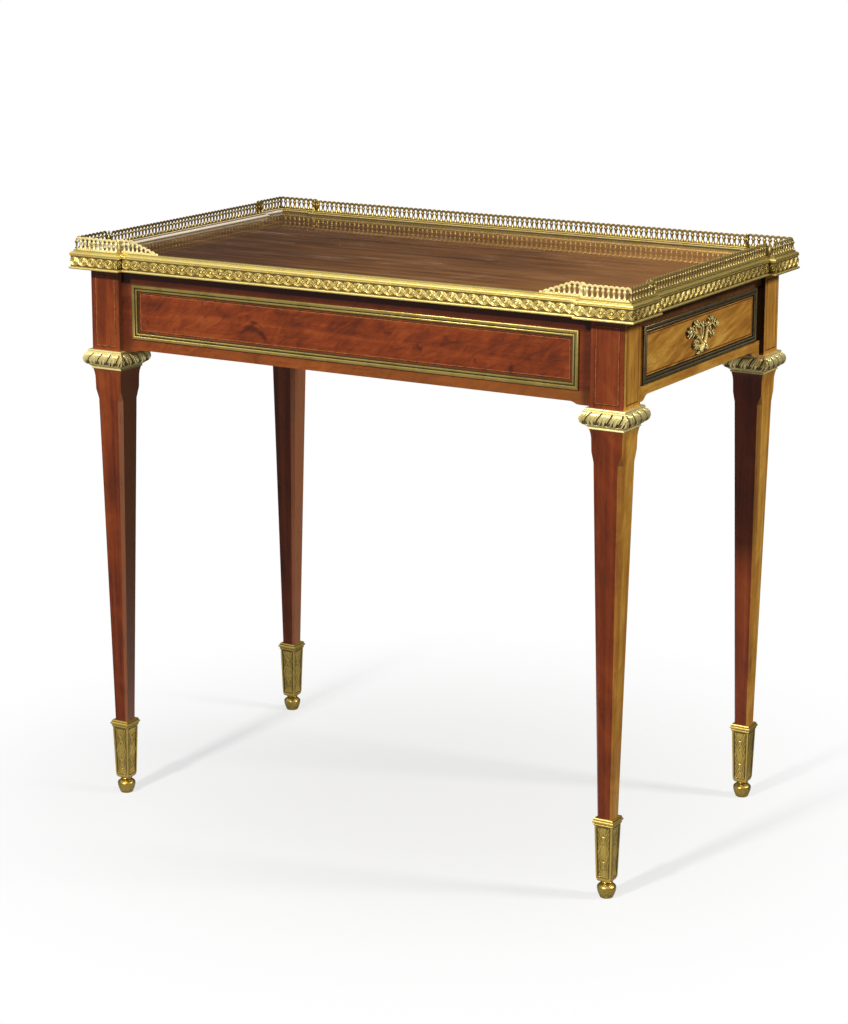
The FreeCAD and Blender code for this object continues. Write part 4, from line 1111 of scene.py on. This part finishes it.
def blade(root, tip, width, base, lift, cup, rows=12, columns=7):
    """A leaf or petal between two points in (across, up), thickened into a closed shell.

    Its width follows the sine of the way along it to the power 0.7, its middle arches up by lift and its
    midrib lies cup below its edges. base is the height that it starts from.
    """
    along = np.linspace(0.0, 1.0, rows)[:, None]
    side = np.linspace(-1.0, 1.0, columns)[None, :]
    axis = np.array(tip) - np.array(root)
    span = np.linalg.norm(axis)
    axis = axis / span
    spread = width / 2 * np.sin(np.pi * (along * 0.92 + 0.06)) ** 0.7
    across = root[0] + axis[0] * along * span - axis[1] * side * spread
    up = root[1] + axis[1] * along * span + axis[0] * side * spread
    rise = base + lift * np.sin(np.pi * along ** 0.8) - cup * (1.0 - np.abs(side))
    top = np.stack([across, up, rise], -1)
    under = np.stack([across, up, np.maximum(rise - PETAL_THICK, 0.0)], -1)
    # Painted shade: each blade darkens towards its edges, for the shadow round it, and is dark
    # underneath.
    edge = np.broadcast_to(ease(np.abs(side), 0.70, 1.0), rise.shape)
    return np.concatenate([top, under[:, ::-1]], 1), np.concatenate([edge, np.ones_like(rise)], 1)


def stem(points, radius, base):
    """A round stem along a cubic curve fitted to points in (across, up), thinner towards its end."""
    points = np.array(points, float)
    keys = np.linspace(0.0, 1.0, len(points))
    t = np.linspace(0.0, 1.0, 14)[:, None]
    fit = np.polyfit(keys, points, min(3, len(points) - 1))
    path = sum(terms * t ** power for power, terms in zip(range(len(fit))[::-1], fit))
    ahead = np.gradient(path, axis=0)
    ahead = ahead / np.linalg.norm(ahead, axis=1, keepdims=True)
    aside = np.stack([-ahead[:, 1], ahead[:, 0]], -1)
    angle = np.arange(8) * np.pi / 4.0
    size = radius * (1.0 - 0.45 * t)
    flat = path[:, None] + aside[:, None] * (size * np.cos(angle))[..., None]
    return np.concatenate([flat, (base + size * np.sin(angle))[..., None]], -1)


def disc(centre, radius, base, rise):
    """A domed button: rings that rise from base by the root of one less the radius squared."""
    shares = np.linspace(1.0, 0.12, 5)
    walls = np.concatenate([[0.0], base + rise * dome(shares ** 2)])
    return spin(np.concatenate([[1.0], shares]) * radius, walls, 14) + np.array([*centre, 0.0])


def stand_on_drawer(grid):
    """Puts points drawn as (across, up, rise) on the drawer front, about the escutcheon's middle."""
    middle = (plate_low + plate_high) / 2
    across, up, rise = np.moveaxis(grid * MM, -1, 0)
    return np.stack([plate_low.x + rise, middle.y + across, middle.z + up], -1)


# Stems as (points, radius, height), leaves as (from, to, width, height) and flowers as (centre, radius,
# height)
STEMS = (
    (((-9, -19.5), (0, -14.5), (6, -9.5), (9, -2), (12, 9)), 2.9, 2.4),
    (((14, -19), (6, -15.5), (-2, -9.5), (-11, -1.5), (-22, 6), (-36, 9.5)), 1.9, 1.7),
    (((-17, 13.5), (-8, 10.5), (3, 10.5), (12, 10)), 1.3, 2.2),
    (((11, 6), (20, 9.5), (30, 9.5), (41, 7)), 1.4, 1.8),
    (((-13, 0), (-18, 7), (-23, 17)), 1.2, 1.8),
    (((11, 3), (19, 2), (27, -3)), 1.1, 1.6),
    (((0, -13), (-11, -12.5), (-20, -9.5), (-27, -6)), 1.2, 1.8),
    (((12, 9), (16, 14), (22, 18)), 1.2, 2.0),
)
LEAVES = (
    (-9, -19, -17, -21, 4.6, 1.6), (-8, -18, -12, -12, 3.8, 1.9), (-4, -16, -13, -16, 4.0, 1.4),
    (10, -17, 13, -21, 3.8, 1.7), (12, -17.5, 18, -17, 3.6, 1.5), (8, -14, 14, -12, 3.2, 1.9),
    (-20, -9, -25, -14, 4.2, 1.8), (-22, -8, -29, -9.5, 3.8, 1.5), (-16, -11, -19, -16, 3.6, 1.7),
    (-18, -6, -25, -3, 3.8, 1.9), (-13, -9, -18, -4, 3.2, 2.1), (-30, 8, -40, 1.5, 4.2, 1.6),
    (-33, 8, -44, 5, 4.0, 2.0), (-36, 9, -46.5, 11, 4.0, 2.2), (-34, 9.5, -40, 16, 3.8, 2.0),
    (-28, 7.5, -32, 14, 3.6, 1.6), (-24, 6.5, -29, 1, 3.6, 1.5), (-20, 13, -29, 15, 3.8, 1.8),
    (-22, 15, -28, 20, 3.8, 2.1), (-21, 15, -19, 20.5, 3.6, 2.2), (-18, 12, -13, 18, 3.4, 2.0),
    (-8, 11, -10, 18, 3.4, 1.9), (-4, 11, -2, 17.5, 3.4, 2.1), (4, 11, 5, 17, 3.2, 2.1),
    (9, 10, 11, 15, 3.2, 2.3), (20, 16, 19, 20.5, 3.6, 2.2), (21, 16, 27, 19.5, 3.8, 2.3),
    (17, 14, 14, 19, 3.2, 1.9), (28, 10, 33, 16, 3.8, 2.1), (33, 9.5, 40, 13.5, 3.8, 2.2),
    (38, 8, 46.5, 8.5, 4.0, 2.1), (36, 8, 43, 2.5, 3.8, 1.9), (30, 9, 34, 3, 3.6, 1.7),
    (23, 10, 24, 16, 3.4, 1.9), (19, 2, 21, 7, 3.2, 1.8), (24, 0, 31, 2, 3.6, 1.8),
    (25, -2, 29, -7, 3.6, 1.7), (21, 0, 22, -6, 3.4, 1.5), (15, 3, 17, -2, 3.0, 1.5),
)
FLOWERS = (
    (-39.5, 9.0, 5.0, 2.6), (-23.5, 16.5, 4.4, 2.6), (-6.0, 13.5, 3.6, 2.5), (4.0, 13.0, 3.0, 2.5),
    (22.0, 17.0, 4.0, 2.6), (36.5, 9.0, 4.8, 2.6), (27.5, -2.5, 3.6, 2.2), (-25.5, -8.0, 3.8, 2.4),
    (-17.5, 0.5, 3.4, 2.2), (13.5, 10.5, 3.4, 3.0), (3.0, -12.5, 2.6, 4.0),
)
PETALS = 5
# The shield's half width and half height, how far its middle lies up, and the keyhole's, with the
# height of the keyhole's middle over the drawer front's lower edge
SHIELD = (5.6, 9.0, 4.0)
KEYHOLE = (2.3, 5.6, -2.8)
KEYHOLE_HEIGHT = 42 * MM
# From the shield's edge to the keyhole's, the share of the way and the height
SHIELD_SECTION = ((0.0, 0.0), (0.0, 1.2), (0.12, 1.7), (0.26, 1.1), (0.50, 0.9), (0.70, 0.9),
                  (0.82, 1.4), (0.93, 1.5), (1.0, 1.2), (1.0, 0.0))


def add_branches(surface):
    """Two crossing branches with their leaves and five-petalled flowers."""
    for points, radius, lift in STEMS:
        surface.tube(stand_on_drawer(stem(points, radius, lift)))
    for x0, y0, x1, y1, wide, lift in LEAVES:
        grid, hollow = blade((x0, y0), (x1, y1), wide * 0.78, lift + 0.6, 1.3, 0.4)
        surface.tube(stand_on_drawer(grid), hollow)
    for x, y, radius, lift in FLOWERS:
        centre = np.array([x, y])
        # Painted shade: a dark disc under each flower fills the gaps between its petals with shade.
        surface.tube(stand_on_drawer(disc(centre, radius * 1.05, 0.0, 0.5)), 1.0)
        for petal in range(PETALS):
            angle = petal * 2.0 * np.pi / PETALS + x
            way = np.array([np.cos(angle), np.sin(angle)]) * radius
            grid, hollow = blade(centre + way * 0.18, centre + way * 1.12, radius * 0.46, lift + 1.2,
                                 0.9, 0.0, 7, 5)
            surface.tube(stand_on_drawer(grid), hollow)
        surface.tube(stand_on_drawer(disc(centre, radius * 0.26, lift + 1.2, 1.0)))


def shield_grid():
    """The shield round the keyhole: rings between its outline and the keyhole's, raised at both."""
    angle = np.arange(72) * 2.0 * np.pi / 72
    half, tall, lifted = SHIELD
    outer_x = half * np.cos(angle) * (0.84 + 0.16 * np.sin(angle))
    outer_y = tall * np.sin(angle) + lifted
    hole_half, hole_tall, hole_lifted = KEYHOLE
    keyhole = (front_low.z + KEYHOLE_HEIGHT - (plate_low.z + plate_high.z) / 2) / MM
    hole_x = hole_half * np.cos(angle)
    hole_y = keyhole + hole_lifted + hole_tall * np.sin(angle)
    return np.array([np.stack([outer_x * (1.0 - inwards) + hole_x * inwards,
                               outer_y * (1.0 - inwards) + hole_y * inwards,
                               np.full(len(angle), height)], -1) for inwards, height in SHIELD_SECTION])


def dress(nodes, material):
    """Gives solids their finish."""
    for name in nodes:
        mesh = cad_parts[name].data
        mesh.materials.clear()
        mesh.materials.append(material)


def tones(*names):
    """Colours of the woods' settings as plain tuples."""
    return [tuple(getattr(settings().wood, name)) for name in names]


class TABLE_OT_woodwork(bpy.types.Operator):
    """Polish the legs, friezes, rails, stiles and the top"""
    bl_idname = "writing_table.woodwork"
    bl_label = "Woodwork"

    def execute(self, context):
        red = tones("red_dark", "red", "red_light")
        golden = tones("gold_dark", "gold", "gold_light")
        deeper = [times(tone, 0.86) for tone in red]
        upright = wood("mahogany_upright", "z", deeper, golden, figure=0.30)
        lengthwise = wood("mahogany_lengthwise", "x", red, golden, figure=0.55, knots=0.7)
        crosswise = wood("mahogany_crosswise", "y", red, golden, figure=0.40)
        dress(["leg_" + name for name in CORNERS] + ["end_stiles"], upright)
        dress(["frieze_front", "frieze_back"], lengthwise)
        dress(["frieze_left", "rail_lower_right"], crosswise)
        # Painted shade: the upper rail over the drawer lies in the edge band's shadow, so it gets dark
        # tones.
        shaded = [(0.042, 0.016, 0.005), (0.110, 0.042, 0.013), (0.180, 0.068, 0.020)]
        dress(["rail_upper_right"], wood("mahogany_dark", "y", shaded, shaded))
        dress(["top_board"], top_wood("mahogany_top", tones("top_dark", "top", "top_light")))
        return {"FINISHED"}


class TABLE_OT_lines(bpy.types.Operator):
    """Colour the inlaid lines"""
    bl_idname = "writing_table.lines"
    bl_label = "Inlaid lines"

    def execute(self, context):
        for shade in ("dark", "light"):
            line = line_wood("line_" + shade, *tones("line_" + shade))
            dress(["stringing_" + shade, "drawer_stringing_" + shade], line)
        return {"FINISHED"}


class TABLE_OT_drawer(bpy.types.Operator):
    """Finish the drawer, its runners and the blocks inside the carcase"""
    bl_idname = "writing_table.drawer"
    bl_label = "Drawer"

    def execute(self, context):
        golden = tones("gold_dark", "gold", "gold_light")
        dress(["drawer_front"], drawer_wood("mahogany_drawer", golden))
        dress(["drawer_side_front", "drawer_side_back", "drawer_back", "drawer_bottom",
               "drawer_runners", "drawer_kickers", "drawer_stops", "glue_blocks"],
              bare_oak("oak", *tones("oak")))
        return {"FINISHED"}


class TABLE_OT_frames(bpy.types.Operator):
    """Gild the panel frames and tone the drawer's frame"""
    bl_idname = "writing_table.frames"
    bl_label = "Bronze frames"

    def execute(self, context):
        metal = settings().metal
        gilded = gilt("gilt_frames", (0.56, 0.42, 0.13), (0.27, 0.19, 0.045), metal.grime,
                      rough=0.30, pits=0.0, fine=0.0)
        for side in ("front", "back", "left"):
            node = "panel_moulding_" + side
            frame_surface(side, node).build("frame_" + side, gilded, "carcase", "gilt_bronze", [node])
        toned = gilt("dark_bronze", times(metal.dark, 3.0), metal.dark, (0.012, 0.010, 0.008),
                     rough=0.32, pits=0.0, fine=0.0)
        frame_surface("right", "drawer_moulding").build("frame_drawer", toned, "drawer", "dark_bronze",
                                                        ["drawer_moulding"])
        return {"FINISHED"}


class TABLE_OT_edge(bpy.types.Operator):
    """Carve the band round the top and shape the rim above it"""
    bl_idname = "writing_table.edge"
    bl_label = "Edge band and rim"

    def execute(self, context):
        metal = settings().metal
        carved = gilt("gilt_band", metal.gilt, metal.worn, metal.hollow, rough=0.40, shine=0.84)
        # Painted shade: the right end's band and rim are darker copies of the gilding, for the dark that
        # they face.
        carved_shaded = gilt("gilt_band_right", (0.52, 0.41, 0.135), (0.34, 0.245, 0.07),
                            (0.135, 0.085, 0.018), rough=0.50)
        plain = gilt("gilt_rim", (0.76, 0.62, 0.21), (0.50, 0.37, 0.11), metal.grime,
                     metal.rim_line)
        plain_shaded = gilt("gilt_rim_right", (0.46, 0.36, 0.115), (0.31, 0.225, 0.065),
                           metal.grime, metal.rim_line, rough=0.42)
        # Painted reflection: the left rim's inner face is made pale for the streaks of white light that
        # it mirrors.
        plain_left_sheen = gilt("gilt_rim_left", (0.88, 0.83, 0.68), (0.74, 0.64, 0.42), metal.hollow,
                          metal.rim_line, rough=0.20, shine=0.45)
        grain = settings().band.grain
        for side, of_band, of_rim in (("front", carved, plain), ("right", carved_shaded, plain_shaded),
                                      ("back", carved, plain), ("left", carved, plain_left_sheen)):
            grid, hollow = run_along(side, lambda span: max(8, round(span / grain)), band_section(side))
            Surface().tube(grid, hollow).build("band_" + side, of_band, "carcase", "gilt_bronze",
                                               ["edge_band_" + side], 50.0)
            section, dirt = rim_section(side)
            grid, line = run_along(side, lambda span: max(2, round(span / RIM_GRAIN)), section)
            dirt = np.broadcast_to(dirt, grid.shape[:2])
            Surface().tube(grid, dirt, line).build("rim_" + side, of_rim, "carcase", "gilt_bronze",
                                                   ["rim_moulding_" + side], 35.0)
        return {"FINISHED"}


class TABLE_OT_gallery(bpy.types.Operator):
    """Set the gallery's pillars and arches on the rim"""
    bl_idname = "writing_table.gallery"
    bl_label = "Gallery"

    def execute(self, context):
        metal = settings().metal
        # Painted shade: the right and left galleries stand in shade, so they get darker copies of the
        # gilding; the back gallery shares the left one's copy.
        gallery_shaded_right = gilt("gilt_gallery", (0.47, 0.365, 0.125), (0.26, 0.18, 0.055), metal.grime,
                     rough=0.46, shine=0.75)
        dull = gilt("gilt_gallery_dull", (0.34, 0.245, 0.07), (0.17, 0.11, 0.026), metal.grime)
        for side, material in (("right", gallery_shaded_right), ("back", dull), ("left", dull)):
            gallery_surface(side).build("arcade_" + side, material, "carcase", "gilt_bronze",
                                        ["gallery_" + side], 50.0)
        bright = gilt("gilt_returns", (0.90, 0.77, 0.37), (0.66, 0.51, 0.18), metal.grime,
                      rough=0.50, shine=0.45)
        for name, sign in (("front_right", 1), ("front_left", -1)):
            front_return_surface(sign).build("arcade_" + name, bright, "carcase", "gilt_bronze",
                                             ["gallery_" + name], 50.0)
        return {"FINISHED"}


class TABLE_OT_leg_mounts(bpy.types.Operator):
    """Carve the collars, engrave the shoes and turn the feet"""
    bl_idname = "writing_table.leg_mounts"
    bl_label = "Collars, shoes and feet"

    def execute(self, context):
        metal = settings().metal
        pale = gilt("gilt_collar", (1.0, 0.87, 0.40), (0.70, 0.53, 0.15), (0.10, 0.062, 0.014),
                    rough=0.30, shine=0.62, fine=0.5)
        brown = gilt("gilt_shoe", metal.aged, times(metal.aged, 0.60), metal.grime, rough=0.30,
                     fine=0.6)
        dark = gilt("gilt_foot", times(metal.aged, 0.68), (0.125, 0.075, 0.020), metal.grime,
                    rough=0.28, pits=0.6, fine=0.45)
        square = (("collar", collar_shape(), pale), ("sabot", shoe_shape(), brown))
        foot, dips = foot_shape()
        for name, signs in CORNERS.items():
            for kind, (grid, hollow), material in square:
                surface = Surface().ring(at_corner(grid, *signs), hollow)
                surface.build(kind + "_carved_" + name, material, "carcase", "gilt_bronze",
                              [kind + "_" + name], 45.0)
            surface = Surface().tube(at_corner(foot, *signs), dips)
            surface.build("foot_turned_" + name, dark, "carcase", "gilt_bronze", ["foot_" + name], 35.0)
        return {"FINISHED"}


class TABLE_OT_escutcheon(bpy.types.Operator):
    """Make the flowered escutcheon on the drawer"""
    bl_idname = "writing_table.escutcheon"
    bl_label = "Escutcheon"

    def execute(self, context):
        surface = Surface()
        add_branches(surface)
        surface.ring(stand_on_drawer(shield_grid()), 0.5)
        petals = gilt("gilt_escutcheon", (1.0, 0.86, 0.35), (0.94, 0.74, 0.24),
                      (0.05, 0.016, 0.006), rough=0.24, shine=0.30, polish=0.6)
        surface.build("escutcheon_flowers", petals, "drawer", "gilt_bronze",
                      ["escutcheon", "escutcheon_pins"], 50.0)
        return {"FINISHED"}


class TABLE_OT_ironwork(bpy.types.Operator):
    """Finish the lock and the screws"""
    bl_idname = "writing_table.ironwork"
    bl_label = "Lock and screws"

    def execute(self, context):
        dress(["lock_case", "lock_bolt"], steel("steel_lock", 0.34))
        dress(["lock_screws", "top_screws"], steel("steel_screws", 0.42))
        return {"FINISHED"}


# Lamps as (name, place, point looked at, width, setting of its power, colour)
LAMPS = (
    ("lamp_front", (-0.35, -3.4, 2.8), (0.0, 0.0, 0.5), 0.3, "front_power", (1.0, 0.98, 0.95)),
    ("lamp_right", (3.3, 0.9, 2.8), (0.0, 0.0, 0.5), 0.7, "right_power", (1.0, 0.97, 0.92)),
    ("lamp_top", (0.0, 0.7, 3.2), (0.0, 0.0, 0.6), 2.0, "top_power", WHITE),
)
# Height of the floor, just under the feet, and how many places lie round it
FLOOR_HEIGHT = -0.2 * MM
FLOOR_PLACES = 96


def soft_lamp(name, place, target, size, power, colour):
    """A square lamp that looks at a point."""
    lamp = bpy.data.lights.new(name, "AREA")
    lamp.shape = "SQUARE"
    lamp.size = size
    lamp.energy = power
    lamp.color = colour
    holder = bpy.data.objects.new(name, lamp)
    holder.location = place
    holder.rotation_euler = (Vector(target) - Vector(place)).to_track_quat("-Z", "Y").to_euler()
    bpy.context.scene.collection.objects.link(holder)


def studio_world(fill):
    """White to the camera, and to mirrored rays a bright front and ceiling and a dark wall behind.

    All other rays see the fill, less of it from behind the table.
    """
    g = Graph("studio", world=True)
    bpy.context.scene.world = g.material
    _, y, z = g.split(g.place)
    front = (y * -1.0).smooth(-0.45, 0.15)
    overhead = z.smooth(0.35, 0.65)
    soft = (front * 0.6 + 0.4) * fill
    mirrored = front * 0.35 + overhead * 0.65 + 0.03
    level = soft + (mirrored - soft) * g.ray("Glossy")
    level = level + (1.0 - level) * g.ray("Camera")
    g.finish(Color=WHITE, Strength=level)


def floor_piece(stage):
    """A pale disc under the table that fades to nothing at its edge, so that no horizon shows.

    Soft rays see it darker than it is. The camera sees half of it as glow.
    """
    radii = np.linspace(0.02, 1.0, 12) * stage.floor_reach
    grid = spin(radii, np.full(12, FLOOR_HEIGHT), FLOOR_PLACES) - np.array([0.0, stage.floor_ahead, 0.0])
    faces = grid_faces(*grid.shape[:2], close_columns=True)
    mesh = bpy.data.meshes.new("floor")
    mesh.from_pydata(grid.reshape(-1, 3).tolist(), [], faces.tolist() + [list(range(FLOOR_PLACES))])
    floor = bpy.data.objects.new("floor", mesh)
    bpy.context.scene.collection.objects.link(floor)
    g = Graph("floor_paint")
    grain = g.noise((3.0, 3.0, 3.0), 3.0, 0.5)
    colour = g.mix(grain * 0.25, tuple(stage.floor), times(stage.floor, 0.96))
    seen = g.ray("Camera")
    colour = g.mix(seen + g.ray("Glossy"), times(stage.floor, 0.35), colour)
    g.finish(Base_Color=colour, Roughness=0.9, Specular_IOR_Level=0.1)
    middle = g.node("ShaderNodeVectorMath", {"operation": "ADD"}, {
        0: g.place, 1: (0.0, stage.floor_ahead, 0.0)})
    away = g.node("ShaderNodeVectorMath", {"operation": "LENGTH"}, {0: middle.outputs[0]})
    fade = Value(g, away.outputs["Value"]).smooth(stage.floor_reach * 0.12, stage.floor_reach * 0.98)
    glow = g.node("ShaderNodeEmission", None, {"Color": WHITE, "Strength": 1.0})
    lit = g.node("ShaderNodeMixShader", None, {0: seen * 0.5, 1: g.shader.outputs[0],
                                               2: glow.outputs[0]})
    clear = g.node("ShaderNodeBsdfTransparent")
    faded = g.node("ShaderNodeMixShader", None, {0: fade, 1: lit.outputs[0], 2: clear.outputs[0]})
    g.feed(g.tree.nodes["Material Output"].inputs["Surface"], faded.outputs[0])
    mesh.materials.append(g.material)


class TABLE_OT_stage(bpy.types.Operator):
    """Lay the floor, hang the lamps and place the camera"""
    bl_idname = "writing_table.stage"
    bl_label = "Studio"

    def execute(self, context):
        stage = settings().stage
        floor_piece(stage)
        studio_world(stage.fill)
        for name, place, target, size, power, colour in LAMPS:
            soft_lamp(name, place, target, size, getattr(stage, power), colour)
        camera = bpy.data.cameras.new("camera")
        camera.lens = stage.lens
        camera.sensor_width = 36.0
        camera.shift_x, camera.shift_y = stage.shift
        camera.clip_end = 50.0
        holder = bpy.data.objects.new("camera", camera)
        yaw, pitch, roll = stage.yaw, stage.pitch, stage.roll
        ahead = Vector((-math.sin(yaw) * math.cos(pitch), math.cos(yaw) * math.cos(pitch),
                        -math.sin(pitch)))
        level = Vector((math.cos(yaw), math.sin(yaw), 0.0))
        upward = level.cross(ahead)
        right = level * math.cos(roll) + upward * math.sin(roll)
        upward = upward * math.cos(roll) - level * math.sin(roll)
        turn = Matrix((right, upward, -ahead)).transposed()
        holder.matrix_world = Matrix.Translation(Vector(stage.camera_place)) @ turn.to_4x4()
        bpy.context.scene.collection.objects.link(holder)
        bpy.context.scene.camera = holder
        bpy.context.scene.view_settings.view_transform = "Standard"
        return {"FINISHED"}


OPERATORS = (TABLE_OT_woodwork, TABLE_OT_lines, TABLE_OT_drawer, TABLE_OT_frames, TABLE_OT_edge,
             TABLE_OT_gallery, TABLE_OT_leg_mounts, TABLE_OT_escutcheon, TABLE_OT_ironwork,
             TABLE_OT_stage)


class TABLE_PT_sidebar(bpy.types.Panel):
    """Panel in the sidebar with the table's steps and settings"""
    bl_idname = "TABLE_PT_sidebar"
    bl_label = "Writing Table"
    bl_space_type = "VIEW_3D"
    bl_region_type = "UI"
    bl_category = "Writing Table"

    def draw(self, context):
        for operator in OPERATORS:
            self.layout.operator(operator.bl_idname)
        for part in TableSettings.__annotations__:
            group = getattr(context.scene.writing_table, part)
            box = self.layout.box()
            for name in group.__annotations__:
                box.prop(group, name)


CLASSES = (BandSettings, CollarSettings, GallerySettings, FrameSettings, ShoeSettings, WoodSettings,
           MetalSettings, StageSettings, TableSettings) + OPERATORS + (TABLE_PT_sidebar,)


def register():
    """Registers the classes and puts the settings on the scene."""
    for item in CLASSES:
        bpy.utils.register_class(item)
    bpy.types.Scene.writing_table = PointerProperty(type=TableSettings)


def unregister():
    """Takes the settings and the classes away again."""
    del bpy.types.Scene.writing_table
    for item in reversed(CLASSES):
        bpy.utils.unregister_class(item)


def main():
    """Makes every piece."""
    register()
    for operator in OPERATORS:
        group, name = operator.bl_idname.split(".")
        getattr(getattr(bpy.ops, group), name)()
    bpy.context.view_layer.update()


if __name__ == "__main__":
    main()
